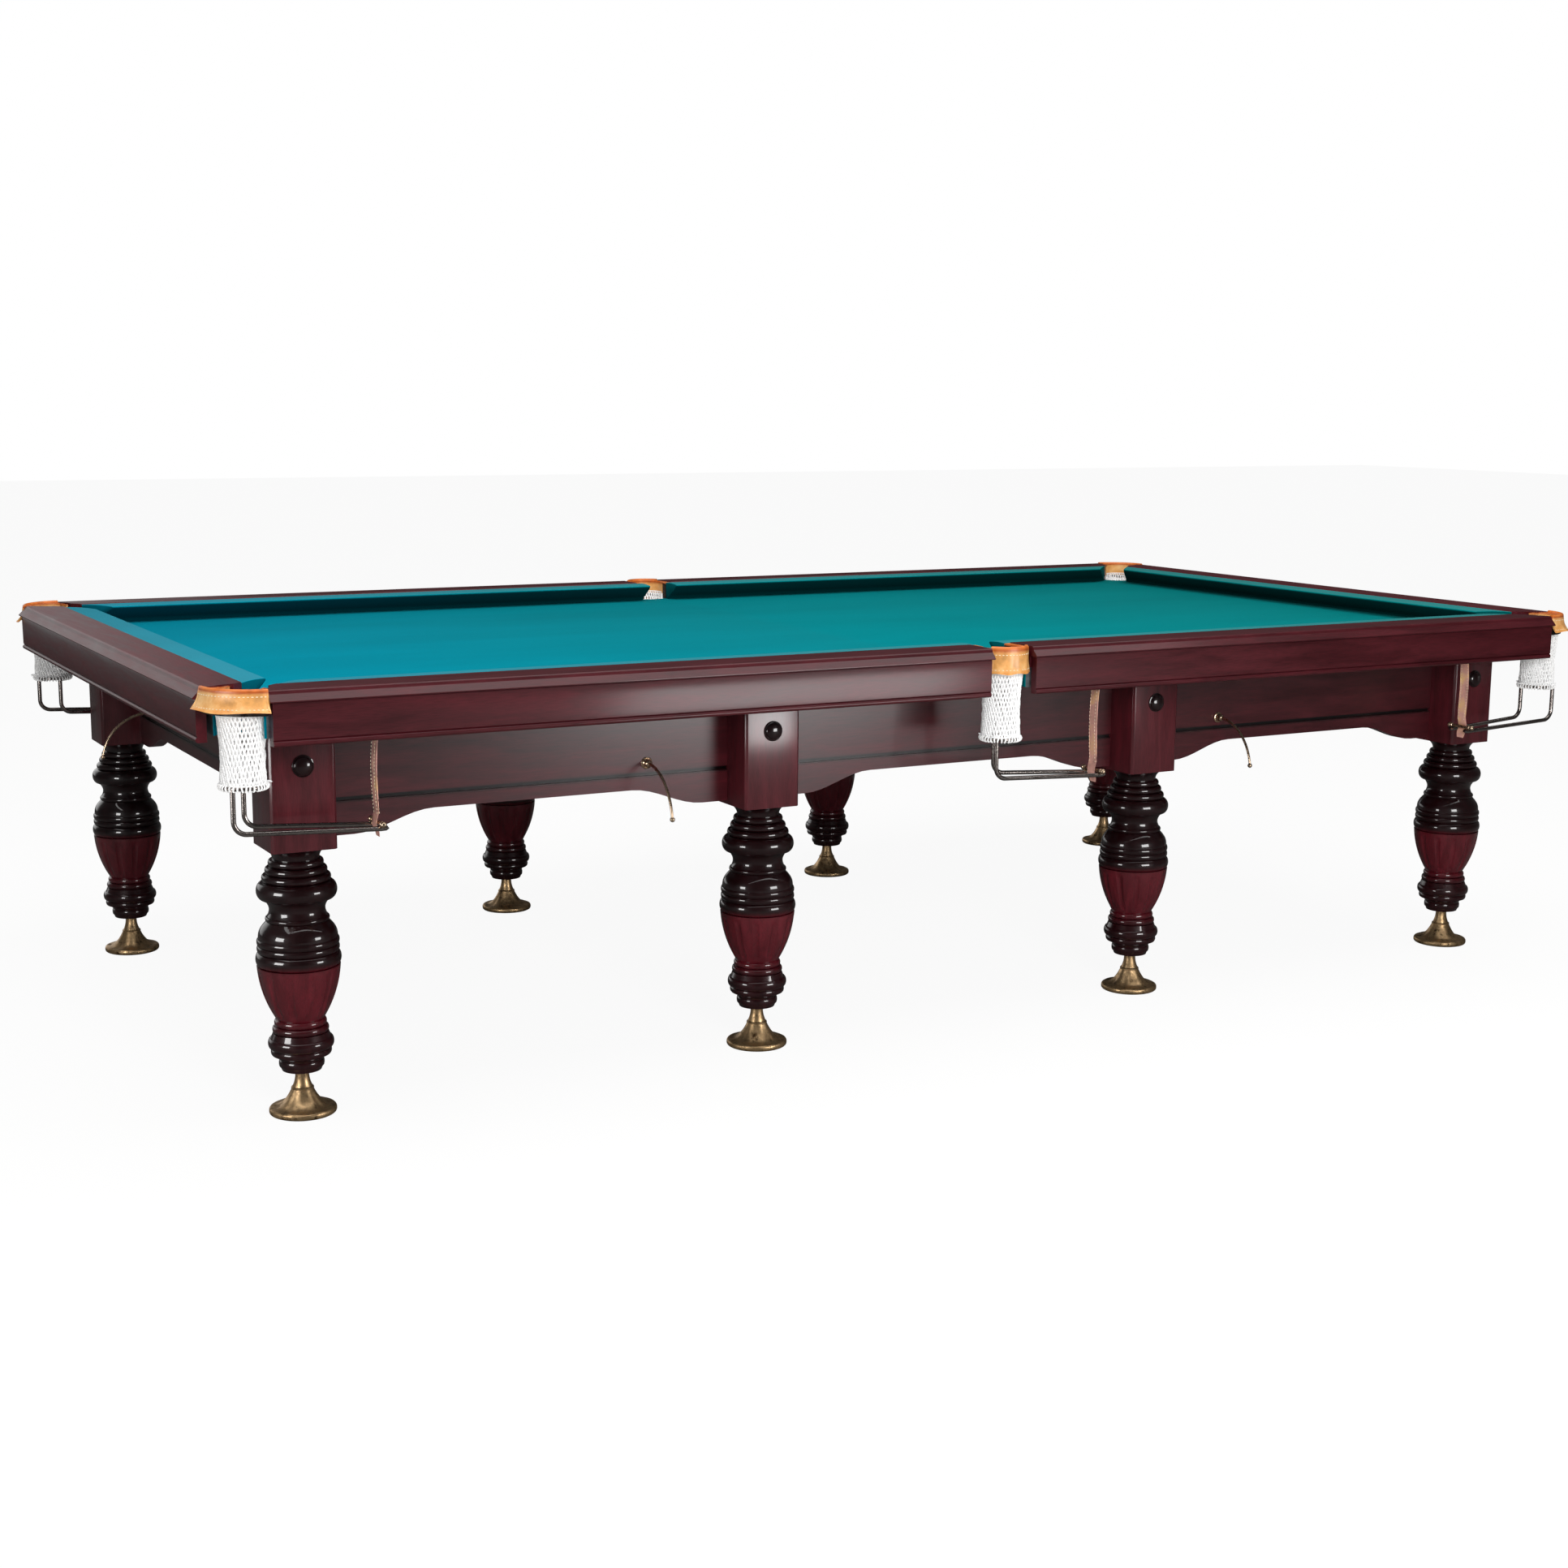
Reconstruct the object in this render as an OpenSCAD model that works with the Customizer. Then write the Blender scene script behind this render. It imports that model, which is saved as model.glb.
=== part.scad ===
// Billiard table with six net pockets, ball runners and eight turned legs, in millimetres.
// The origin is on the floor under the middle of the table. X runs along it and Z is up.

/* [Playing field] */
// Length between the cushion noses
field_l = 3200; // [2600:20:3400]
// Width between the cushion noses
field_w = 1600; // [1500:20:1800]
// Height of the cloth above the floor
bed_h = 837; // [800:1:870]
// Thickness of the bed cloth
cloth_t = 1; // [0.6:0.1:2]
// Thickness of the slate slabs
slate_t = 45; // [30:1:60]
// Number of slate slabs along the bed
slab_count = 5; // [3, 5, 7]
// How far the slate reaches under the rails
slate_lap = 65; // [55:1:72]

/* [Rails] */
// Width of a cushion from its nose to the wood
cushion_w = 65; // [55:1:70]
// Height of the cushion nose above the cloth
nose_h = 43; // [38:0.5:45]
// Height of the rail top above the cloth
rail_h = 48; // [46:0.5:56]
// Width of the rail wood inside the fascia
rail_w = 78; // [74:1:90]
// Reach of the rail's lip over the fascia
lip_w = 27; // [24:1:34]
// Thickness of the rail's lip
lip_h = 23; // [18:1:26]
// How far the lip leans in towards its top edge
lip_lean = 15; // [8:1:18]
// Thickness of a fascia board
fascia_t = 22; // [16:1:24]
// Height of a fascia board
fascia_h = 83; // [70:1:95]
// Height of the bead along the foot of a fascia
fascia_bead_h = 8; // [5:0.5:12]
// Height of the quirk over that bead
fascia_quirk_h = 6; // [3:0.5:8]
// Depth of that quirk
fascia_quirk_d = 5; // [2:0.5:8]
// Bolts that hold one rail to the bed
rail_bolt_count = 5; // [3:1:6]
// Radius of a rail bolt
rail_bolt_r = 5; // [4:0.5:6]
// Distance from the back of a cushion to the rail bolts
rail_bolt_set = 22; // [18:1:26]

/* [Pockets] */
// Mouth of a corner pocket, square to its diagonal
corner_mouth = 73; // [70:1:80]
// Mouth of a middle pocket between the noses
middle_mouth = 83; // [78:1:90]
// Radius of a pocket hole
pocket_r = 44; // [42:0.5:46]
// Set-out of a corner pocket from the field's corner, along X and along Y
corner_set = 88; // [84:1:90]
// Set-out of a middle pocket from the long nose line
middle_set = 115; // [110:1:118]
// Length that each rail stops short of the outer corner
corner_cut = 115; // [112:1:122]
// Gap between two long rails at a middle pocket
rail_gap = 108; // [104:1:116]
// Wall of a pocket iron
iron_t = 4.7; // [4:0.1:6]
// Thickness of the pocket leather
leather_t = 4; // [3:0.5:5]
// How far the leather's foot stands proud of the rail
leather_proud = 7; // [3:1:10]
// Lean of a corner leather from its foot to its rim
corner_lean = 19; // [12:1:21]
// Lean of a middle leather from its foot to its rim
middle_lean = 5; // [2:1:6]
// Height of a leather skirt
skirt_h = 57; // [45:1:65]
// Radius of the rolled leather rim
rim_r = 5; // [4:0.5:6]
// How far that rim stands above the rail top
rim_up = 3; // [0:0.5:4]
// Height of the leather lining inside a pocket
lining_h = 34; // [24:1:38]
// Radius of the notch in the slate round a pocket
notch_r = 54; // [51:1:58]

/* [Nets and runners] */
// Wall of a net
net_t = 2; // [1.5:0.5:3]
// Height of a corner net
corner_net_h = 149; // [120:1:170]
// Height of a middle net
middle_net_h = 168; // [130:1:180]
// Drop below the cloth of a net's edge at the mouth of its pocket
net_dip = 4; // [2:0.5:8]
// Radius of the ring at the foot of a net
ring_r = 41; // [40:1:43]
// Radius of the wire of a ring
wire_r = 4; // [3:0.5:5]
// Radius of a runner rod
rod_r = 5; // [4:0.5:6]
// Distance between the two rods of a runner
rod_pitch = 50; // [46:1:60]
// Run of a ball runner from its pocket to its strap
run_l = 258; // [230:1:290]
// Fall of a runner from its bend to its strap
run_fall = 13; // [8:1:20]
// Bend radius of a runner rod
bend_r = 26; // [20:1:34]
// Angle round the ring at which the inner rod starts
inner_angle = 76; // [70:1:90]
// Angle round the ring at which the outer rod starts
outer_angle = 135; // [90:1:140]
// Drop from the foot of a net to the runner's bend
bend_drop = 88; // [80:1:96]
// Width of a runner strap
strap_w = 28; // [20:1:30]
// Thickness of a runner strap
strap_t = 4; // [3:0.5:5]
// Tab of a strap under the slate
strap_tab = 30; // [20:1:40]
// Length of strap below its cross bar
strap_tail = 26; // [15:1:40]
// Radius of a cross bar
bar_r = 4; // [3:0.5:5]
// Radius of the balls on a cross bar
bar_ball_r = 6.5; // [6:0.5:8]

/* [Legs] */
// Set-back of the end legs from the end nose line
leg_end_set = 50; // [40:1:80]
// Set-back of the legs from the long nose line
leg_side_set = 58; // [50:1:90]
// Side of the square leg block
block_w = 132; // [120:1:150]
// Chamfer on the edges of the leg block
block_chamfer = 5; // [2:0.5:8]
// Height of the wood's foot above the floor
leg_lift = 90; // [75:1:110]
// Height of the collar under the block
collar_h = 24; // [18:1:30]
// Radius of that collar against the block
collar_r = 60; // [54:1:65]
// Radius of the throat under the collar
throat_r = 46; // [42:1:52]
// Height of a crown bead
crown_bead_h = 15; // [12:1:18]
// Number of crown beads
crown_beads = 3; // [2:1:4]
// Radius of the lowest crown bead
crown_r = 66; // [60:1:70]
// Height of the big ring
ring_h = 36; // [30:1:42]
// Radius of the big ring
big_ring_r = 79; // [74:1:86]
// Height of the neck under the big ring
neck_h = 34; // [26:1:42]
// Radius of the neck
neck_r = 55; // [50:1:60]
// Height of the fillet under the neck
fillet_h = 10; // [8:1:14]
// Radius of that fillet
fillet_r = 63; // [58:1:68]
// Height of the bell over the reeds
bell_h = 34; // [26:1:42]
// Radius of the bell's foot
bell_r = 78; // [72:1:82]
// Height of one reed
reed_h = 14; // [10:1:18]
// Number of reeds
reed_count = 2; // [1:1:3]
// Radius of the reeds
reed_r = 81; // [76:1:85]
// Height of the shoulder ring
shoulder_h = 28; // [22:1:34]
// Radius of the shoulder ring
shoulder_r = 84; // [80:1:90]
// Height of the fluted tulip
tulip_h = 110; // [90:1:130]
// Swell of the tulip outside its straight taper
tulip_swell = 7; // [4:0.5:10]
// Radius of the waist under the tulip
waist_r = 47; // [42:1:52]
// Height of a waist bead
waist_bead_h = 14; // [10:1:18]
// Number of waist beads
waist_beads = 2; // [1:1:3]
// Height of the bulb
bulb_h = 32; // [26:1:38]
// Radius of the bulb
bulb_r = 65; // [60:1:72]
// Height of the ring under the bulb
sub_ring_h = 14; // [10:1:18]
// Radius of that ring
sub_ring_r = 60; // [56:1:64]
// Height of the cove under it
toe_h = 10; // [8:1:14]
// Height of the leg's base
base_h = 22; // [18:1:28]
// Radius of the leg's base
base_r = 45; // [40:1:50]
// Number of flutes round the tulip
flute_count = 12; // [8:1:16]
// Radius of a flute
flute_r = 6; // [4:0.5:7]
// Depth of a flute
flute_d = 3; // [2:0.5:4]

/* [Levelling feet] */
// Radius of the stem
stem_r = 13.5; // [12:0.5:16]
// Running clearance round the stem
stem_gap = 0.08; // [0.05:0.01:0.1]
// Length of stem inside the leg at rest
stem_in = 110; // [80:1:130]
// Travel of the foot into the leg
foot_up = 8; // [5:1:9]
// Radius of the foot's disc
foot_r = 67; // [60:1:75]
// Thickness of the disc's rim
foot_rim_h = 14; // [10:1:18]
// Radius of the foot's knuckle
knuckle_r = 22; // [19:1:26]
// Height of the knuckle above the floor
knuckle_h = 50; // [44:1:56]

/* [Frame] */
// Thickness of a long beam
beam_t = 50; // [40:1:60]
// Height of the beams
beam_h = 130; // [100:1:150]
// Thickness of a cross beam
cross_t = 60; // [45:1:80]
// Thickness of an apron board
apron_t = 30; // [20:1:36]
// Set-back of the aprons behind the block faces
apron_set = 85; // [70:1:92]
// Height of an apron at the legs
apron_h = 237; // [200:1:245]
// Rise of the apron's foot at the middle of a bay
arch_rise = 40; // [25:1:50]
// Straight length of the apron's foot beside a leg
arch_land = 60; // [40:1:90]
// Length over which that foot rises
arch_run = 170; // [120:1:200]
// Height of the groove along an apron
groove_h = 8; // [4:1:12]
// Depth of that groove
groove_d = 6; // [3:1:10]
// Height of the groove's middle over the apron's foot
groove_up = 73; // [60:1:90]
// Drop of the block bolts below the slate
bolt_drop = 78; // [60:1:90]
// Radius of a block bolt
block_bolt_r = 6; // [5:0.5:8]
// Radius of a block bolt's head
bolt_head_r = 13; // [11:1:15]
// Height of that head
bolt_head_h = 9; // [7:1:12]
// Depth of the counterbore in the block
counterbore_d = 14; // [13:1:20]
// Thread length of a block bolt in the beam
bolt_grip = 38; // [25:1:39]
// Radius of a bolt cover
cover_r = 22; // [19:1:26]
// Height of a bolt cover
cover_h = 12; // [8:1:16]

/* [Rest hooks] */
// Distance of the side hooks from the middle
hook_x = 777; // [700:1:900]
// Distance of the end hook from the middle line
hook_y = 480; // [300:1:520]
// Drop of a hook's rosette below the slate
hook_drop = 141; // [120:1:150]
// Radius of the rosette
rosette_r = 13; // [10:1:16]
// Thickness of the rosette
rosette_h = 4; // [3:0.5:6]
// Reach of the middle of a hook's ball
hook_out = 9; // [8:0.5:12]
// Radius of a hook's rod
hook_rod_r = 3.5; // [3:0.5:5]
// Bend radius of a hook
hook_bend = 118; // [90:1:130]
// Sweep of a hook's bend
hook_sweep = 82; // [60:1:88]
// Radius that the tip's ball adds to the rod
tip_over = 2; // [1:0.5:3]

/* [Hidden] */
$fn = 48;

wood_colour = "#4a2128";
cloth_colour = "#00858f";
leather_colour = "#d59a5c";
net_colour = "#f0eee8";
brass_colour = "#9a7a45";
steel_colour = "#8f8a86";
slate_colour = "#5d6266";
iron_colour = "#3b3836";

// Clear distance at a seat and reach of a cutter past a face
seat = 0.3;
cut = 1;
notch_flank_in = 1;

half_l = field_l / 2;
half_w = field_w / 2;
slate_top = bed_h - cloth_t;
slate_foot = slate_top - slate_t;
rail_top = bed_h + rail_h;
lip_foot = rail_top - lip_h;

// Distances from a nose line outwards across a rail
back_u = cushion_w;
lap_u = cushion_w + slate_lap;
fascia_u = cushion_w + rail_w;
lip_u = fascia_u + lip_w;
slate_x = half_l + lap_u;
slate_y = half_w + lap_u;
outer_x = half_l + lip_u;
outer_y = half_w + lip_u;
corner_x = outer_x - corner_cut;
corner_y = outer_y - corner_cut;
fascia_end = seat + fascia_quirk_d;

corner_px = half_l + corner_set;
corner_py = half_w + corner_set;
middle_py = half_w + middle_set;
lining_r = pocket_r + leather_t;
iron_in_r = lining_r + seat;
iron_out_r = iron_in_r + iron_t;
cap_z = rail_top + rim_up - rim_r;
skirt_foot = rail_top - skirt_h;
corner_foot_r = corner_cut + leather_proud;
corner_rim_r = corner_foot_r - corner_lean;
iron_top = cap_z - rim_r - seat;
corner_iron_r = corner_rim_r - leather_t + seat;
middle_foot_r = outer_y + leather_proud - middle_py;
middle_rim_r = middle_foot_r - middle_lean;
middle_iron_r = middle_rim_r - leather_t;
middle_arm = rail_gap / 2 - seat;
middle_throat = middle_mouth / 2 - 3;
net_top = cap_z - lining_h + leather_t - seat;
corner_net_foot = net_top - corner_net_h;
middle_net_foot = net_top - middle_net_h;

leg_x1 = half_l - leg_end_set;
leg_x2 = leg_x1 / 3;
leg_y = half_w - leg_side_set;
leg_xs = [-leg_x1, -leg_x2, leg_x2, leg_x1];
block_face_x = leg_x1 + block_w / 2;
block_face_y = leg_y + block_w / 2;
block_back_y = leg_y - block_w / 2;
crown_h = crown_beads * crown_bead_h;
reeds_h = reed_count * reed_h;
waist_h = waist_beads * waist_bead_h;
z_base = leg_lift;
z_toe = z_base + base_h;
z_sub = z_toe + toe_h;
z_bulb = z_sub + sub_ring_h;
z_waist = z_bulb + bulb_h;
z_tulip = z_waist + waist_h;
z_shoulder = z_tulip + tulip_h;
z_reeds = z_shoulder + shoulder_h;
z_bell = z_reeds + reeds_h;
z_fillet = z_bell + bell_h;
z_neck = z_fillet + fillet_h;
z_ring = z_neck + neck_h;
z_crown = z_ring + ring_h;
z_collar = z_crown + crown_h;
z_block = z_collar + collar_h;

beam_foot = slate_foot - beam_h;
beam_back_y = block_back_y - beam_t;
beam_end_x = leg_x1 + bolt_head_r + seat;
apron_y = block_face_y - apron_set;
apron_x = block_face_x - apron_set;
apron_foot = slate_foot - apron_h;
slab_l = 2 * slate_x / slab_count;
bolt_z = slate_foot - bolt_drop;
hook_z = slate_foot - hook_drop;
rail_bolt_u = cushion_w + rail_bolt_set;
rail_bolt_grip = rail_h / 2;

// Points of a half round that bulges from radius r between two heights
function bead(r, bulge, z1, z0, n = 6) =
    [for (i = [0:n]) [r + bulge * sin(180 * i / n), (z1 + z0) / 2 + (z1 - z0) / 2 * cos(180 * i / n)]];

// Points of a smooth sweep from radius r1 at z1 to r0 at z0
function sweep(r1, r0, z1, z0, bulge, n = 6) =
    [for (i = [0:n]) [r1 + (r0 - r1) * i / n + bulge * sin(180 * i / n), z1 + (z0 - z1) * i / n]];

function arc(x, y, r, a0, a1, n = 6) =
    [for (i = [0:n]) [x + r * cos(a0 + (a1 - a0) * i / n), y + r * sin(a0 + (a1 - a0) * i / n)]];

function signs() = [-1, 1];

// Turns a shape drawn in the back right quarter into the quarter named by two signs
module quarter(sx, sy) {
    mirror([sx < 0 ? 1 : 0, 0, 0])
        mirror([0, sy < 0 ? 1 : 0, 0])
            children();
}

module four_quarters() {
    for (sx = signs(), sy = signs()) quarter(sx, sy) children();
}

module two_sides() {
    for (sy = signs()) quarter(1, sy) children();
}

// Places a shape at the middle of a turned leg
module at_leg(i, sy) {
    translate([leg_xs[i], sy * leg_y, 0]) children();
}

/* Legs */

// Circle arc that the tulip's side follows, as centre radius, centre height, radius and two angles
tulip_top_r = shoulder_r - 2;
tulip_dr = tulip_top_r - waist_r;
tulip_chord = sqrt(tulip_dr * tulip_dr + tulip_h * tulip_h);
tulip_r = (tulip_chord * tulip_chord / 4 + tulip_swell * tulip_swell) / (2 * tulip_swell);
tulip_off = tulip_r - tulip_swell;
tulip_cx = (tulip_top_r + waist_r) / 2 - tulip_off * tulip_h / tulip_chord;
tulip_cz = (z_shoulder + z_tulip) / 2 + tulip_off * tulip_dr / tulip_chord;
tulip_a1 = atan2(z_shoulder - tulip_cz, tulip_top_r - tulip_cx);
tulip_a0 = atan2(z_tulip - tulip_cz, waist_r - tulip_cx);
flute_margin = (tulip_a1 - tulip_a0) * 0.1;

function crown_points() =
    [for (k = [0:crown_beads - 1])
        for (p = bead(throat_r + (crown_r - throat_r) * (k + 0.5) / crown_beads, crown_bead_h / 3,
                      z_collar - k * crown_bead_h, z_collar - (k + 1) * crown_bead_h)) p];

function reed_points() =
    [for (k = [0:reed_count - 1])
        for (p = bead(reed_r - reed_h / 4, reed_h / 4,
                      z_bell - k * reed_h, z_bell - (k + 1) * reed_h)) p];

function waist_points() =
    [for (k = [0:waist_beads - 1])
        for (p = bead(waist_r + 4 * k, waist_bead_h / 3,
                      z_tulip - k * waist_bead_h, z_tulip - (k + 1) * waist_bead_h)) p];

function turned_points() = concat(
    [[0, z_block], [collar_r, z_block]],
    sweep(collar_r, throat_r, z_block, z_collar, -4),
    crown_points(),
    bead(crown_r, big_ring_r - crown_r, z_crown, z_ring, 10),
    sweep(crown_r - 2, fillet_r - 4, z_ring, z_neck, neck_r - (crown_r + fillet_r - 6) / 2, 8),
    bead(fillet_r - 4, 4, z_neck, z_fillet),
    sweep(fillet_r - 2, bell_r, z_fillet, z_bell, 5, 8),
    reed_points(),
    bead(shoulder_r - 8, 8, z_reeds, z_shoulder, 8),
    arc(tulip_cx, tulip_cz, tulip_r, tulip_a1, tulip_a0, 10),
    waist_points(),
    sweep(waist_r + 4 * waist_beads, bulb_r - 6, z_waist, z_waist - bulb_h / 3, 0, 2),
    bead(bulb_r - 6, 6, z_waist - bulb_h / 3, z_bulb, 8),
    bead(sub_ring_r - 4, 4, z_bulb, z_sub),
    sweep(sub_ring_r - 6, base_r - 2, z_sub, z_toe, -2, 4),
    bead(base_r - 2, 2, z_toe, z_base + base_h / 3),
    [[base_r - 3, z_base + base_h / 3], [base_r - 6, z_base], [0, z_base]]
);

module flutes() {
    for (k = [0:flute_count - 1])
        rotate([0, 0, 360 * k / flute_count])
            translate([tulip_cx, 0, tulip_cz])
                rotate([90, 0, 0])
                    rotate([0, 0, tulip_a0 + flute_margin])
                        rotate_extrude(angle = tulip_a1 - tulip_a0 - 2 * flute_margin)
                            translate([tulip_r + flute_r - flute_d, 0])
                                circle(r = flute_r);
}

module block_outline() {
    b = block_w / 2;
    c = block_chamfer;
    polygon([[b, c - b], [b, b - c], [b - c, b], [c - b, b], [-b, b - c], [-b, c - b], [c - b, -b], [b - c, -b]]);
}

// Leg number i from the left, on the side given by sy
module leg(i, sy) {
    color(wood_colour)
        at_leg(i, sy)
            difference() {
                union() {
                    translate([0, 0, z_block])
                        linear_extrude(height = slate_foot - z_block)
                            block_outline();
                    rotate_extrude(convexity = 6)
                        polygon(turned_points());
                }
                flutes();
                translate([0, 0, leg_lift - cut])
                    cylinder(r = stem_r + stem_gap, h = stem_in + foot_up + cut + cut);
                translate([0, 0, bolt_z])
                    rotate([-90 * sy, 0, 0]) {
                        translate([0, 0, -block_w])
                            cylinder(r = block_bolt_r + stem_gap, h = 2 * block_w);
                        translate([0, 0, block_w / 2 - counterbore_d])
                            cylinder(r = bolt_head_r + cut, h = counterbore_d + cut);
                    }
            }
}

/* Levelling feet */

function foot_points() = concat(
    [[0, 0], [foot_r - 5, 0]],
    arc(foot_r - 5, 5, 5, -90, 0, 3),
    arc(foot_r - 6, foot_rim_h - 6, 6, 0, 75, 3),
    [for (i = [1:8])
        let (t = i / 8)
            [foot_r - 6 - (foot_r - 6 - knuckle_r) * pow(t, 0.75),
             foot_rim_h + (knuckle_h - foot_rim_h) * pow(t, 1.7)]],
    [[knuckle_r - 1, knuckle_h + 4]],
    sweep(knuckle_r - 2, stem_r, knuckle_h + 5, leg_lift - foot_up, -1.5, 5),
    [[stem_r, leg_lift + stem_in - 3], [stem_r - 3, leg_lift + stem_in], [0, leg_lift + stem_in]]
);

module foot(i, sy) {
    color(brass_colour)
        at_leg(i, sy)
            rotate_extrude(convexity = 4)
                polygon(foot_points());
}

/* Rails, cushions and fascias */

// Lays a profile drawn as distance outwards and height along the back side, from x0 to x1
module along_side(x0, x1) {
    translate([x0, half_w, 0])
        rotate([90, 0, 90])
            linear_extrude(height = x1 - x0, convexity = 6)
                children();
}

// Lays the same profile along the right end, from y0 to y1
module along_end(y0, y1) {
    translate([half_l, y1, 0])
        rotate([90, 0, 0])
            linear_extrude(height = y1 - y0, convexity = 6)
                children();
}

module rail_profile() {
    top_u = lip_u - lip_lean;
    polygon(concat(
        [[back_u, bed_h], [fascia_u, bed_h], [fascia_u, lip_foot], [lip_u - 2, lip_foot]],
        arc(lip_u - 2, lip_foot + 2, 2, -90, 20, 3),
        [[top_u + 2.5, rail_top - 8]],
        arc(top_u - 5, rail_top - 6, 6, 10, 90, 5),
        [[back_u + 2, rail_top], [back_u, rail_top - 2]]
    ));
}

module cushion_profile() {
    nose_z = bed_h + nose_h;
    polygon(concat(
        [[back_u, bed_h], [back_u - 14, bed_h], [back_u - 16, bed_h + 6]],
        [[3, nose_z - 5]],
        arc(3, nose_z - 1.5, 3, 250, 110, 6),
        [[back_u, rail_top - 0.8]]
    ));
}

module fascia_profile() {
    foot = lip_foot - fascia_h;
    bead_top = foot + fascia_bead_h;
    quirk_top = bead_top + fascia_quirk_h;
    face_u = fascia_u + fascia_t;
    polygon(concat(
        [[fascia_u, foot]],
        arc(face_u - fascia_bead_h / 2, foot + fascia_bead_h / 2, fascia_bead_h / 2, -90, 90, 8),
        [[face_u - fascia_quirk_d, bead_top], [face_u - fascia_quirk_d, quirk_top],
         [face_u - 1, quirk_top], [face_u, quirk_top + 1]],
        arc(face_u - 4, lip_foot - 4, 4, 0, 90, 4),
        [[fascia_u, lip_foot]]
    ));
}

// Diagonal slot that the two jaws of a corner pocket leave open
module corner_slot(z0, h) {
    translate([half_l, half_w, z0])
        rotate([0, 0, 45])
            translate([-2 * corner_mouth, -corner_mouth / 2, 0])
                cube([2 * corner_mouth + corner_set * sqrt(2), corner_mouth, h]);
}

// Everything on the corner's side of the jaw that ends a side cushion, or an end cushion where side is -1
module beyond_jaw(side) {
    translate([half_l, half_w, bed_h - cut])
        rotate([0, 0, 45])
            translate([-2 * corner_mouth, side > 0 ? -4 * corner_mouth : -corner_mouth / 2, 0])
                cube([6 * corner_mouth, 4.5 * corner_mouth, rail_h + 2 * cut]);
}

// Slot between the jaws of a middle pocket
module middle_slot(z0, h) {
    e = middle_mouth / 2;
    translate([0, half_w, z0])
        linear_extrude(height = h)
            polygon([[-e - 2, -cut], [e + 2, -cut], [e, 4], [e - 3, back_u], [e - 3, middle_set],
                     [3 - e, middle_set], [3 - e, back_u], [-e, 4]]);
}

module corner_well(r, z0, h) {
    translate([corner_px, corner_py, z0])
        cylinder(r = r, h = h);
}

module middle_well(r, z0, h) {
    translate([0, middle_py, z0])
        cylinder(r = r, h = h);
}

module side_bolts(r, z0, h) {
    pitch = (corner_x - rail_gap / 2) / rail_bolt_count;
    for (k = [0:rail_bolt_count - 1])
        translate([rail_gap / 2 + pitch * (k + 0.5), half_w + rail_bolt_u, z0])
            cylinder(r = r, h = h);
}

module end_bolts(r, z0, h) {
    pitch = 2 * corner_y / rail_bolt_count;
    for (k = [0:rail_bolt_count - 1])
        translate([half_l + rail_bolt_u, pitch * (k + 0.5) - corner_y, z0])
            cylinder(r = r, h = h);
}

module side_rail(sx, sy) {
    color(wood_colour)
        quarter(sx, sy)
            difference() {
                along_side(rail_gap / 2, corner_x)
                    rail_profile();
                corner_slot(bed_h - cut, rail_h + 2 * cut);
                corner_well(iron_out_r + seat, bed_h - cut, rail_h + 2 * cut);
                side_bolts(rail_bolt_r + stem_gap, bed_h - cut, rail_bolt_grip + cut + seat);
            }
}

module end_rail(sx) {
    color(wood_colour)
        quarter(sx, 1)
            difference() {
                along_end(-corner_y, corner_y)
                    rail_profile();
                for (sy = signs())
                    quarter(1, sy) {
                        corner_slot(bed_h - cut, rail_h + 2 * cut);
                        corner_well(iron_out_r + seat, bed_h - cut, rail_h + 2 * cut);
                    }
                end_bolts(rail_bolt_r + stem_gap, bed_h - cut, rail_bolt_grip + cut + seat);
            }
}

module side_cushion(sx, sy) {
    color(cloth_colour)
        quarter(sx, sy)
            difference() {
                along_side(rail_gap / 2 - back_u, corner_x)
                    cushion_profile();
                beyond_jaw(1);
                middle_slot(bed_h - cut, rail_h + 2 * cut);
                translate([-field_l, half_w - cut, bed_h - cut])
                    cube([field_l, back_u + 2 * cut, rail_h + 2 * cut]);
            }
}

module end_cushion(sx) {
    color(cloth_colour)
        quarter(sx, 1)
            difference() {
                along_end(-corner_y, corner_y)
                    cushion_profile();
                for (sy = signs())
                    quarter(1, sy)
                        beyond_jaw(-1);
            }
}

module side_fascia(sx, sy) {
    color(wood_colour)
        quarter(sx, sy)
            along_side(rail_gap / 2 + fascia_end, corner_x - fascia_end)
                fascia_profile();
}

module end_fascia(sx) {
    color(wood_colour)
        quarter(sx, 1)
            along_end(fascia_end - corner_y, corner_y - fascia_end)
                fascia_profile();
}

/* Pocket leathers and irons */

// Section of a leather skirt with its rolled rim, as radius and height
module skirt_profile(foot_r, rim_out_r) {
    polygon([[foot_r - leather_t, skirt_foot], [foot_r, skirt_foot],
             [rim_out_r, cap_z], [rim_out_r - leather_t, cap_z]]);
    translate([rim_out_r - rim_r, cap_z])
        circle(r = rim_r);
}

module quarter_disc(r) {
    intersection() {
        translate([corner_x, corner_y])
            circle(r = r, $fn = 96);
        translate([corner_x, corner_y])
            square([r + cut, r + cut]);
    }
}

module corner_slot_outline() {
    translate([half_l, half_w])
        rotate(45)
            translate([0, -corner_mouth / 2])
                square([corner_set * sqrt(2), corner_mouth]);
}

module corner_cap_outline(r, hole) {
    difference() {
        quarter_disc(r);
        translate([corner_px, corner_py])
            circle(r = hole);
        corner_slot_outline();
    }
}

module middle_cap_outline(r, hole) {
    e = middle_throat;
    difference() {
        union() {
            intersection() {
                translate([0, middle_py])
                    circle(r = r, $fn = 96);
                translate([-middle_arm, middle_py])
                    square([2 * middle_arm, r + cut]);
            }
            translate([-middle_arm, half_w + back_u + seat])
                square([2 * middle_arm, middle_set - back_u - seat]);
        }
        translate([0, middle_py])
            circle(r = hole);
        translate([-e, half_w])
            square([2 * e, middle_set]);
    }
}

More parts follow.
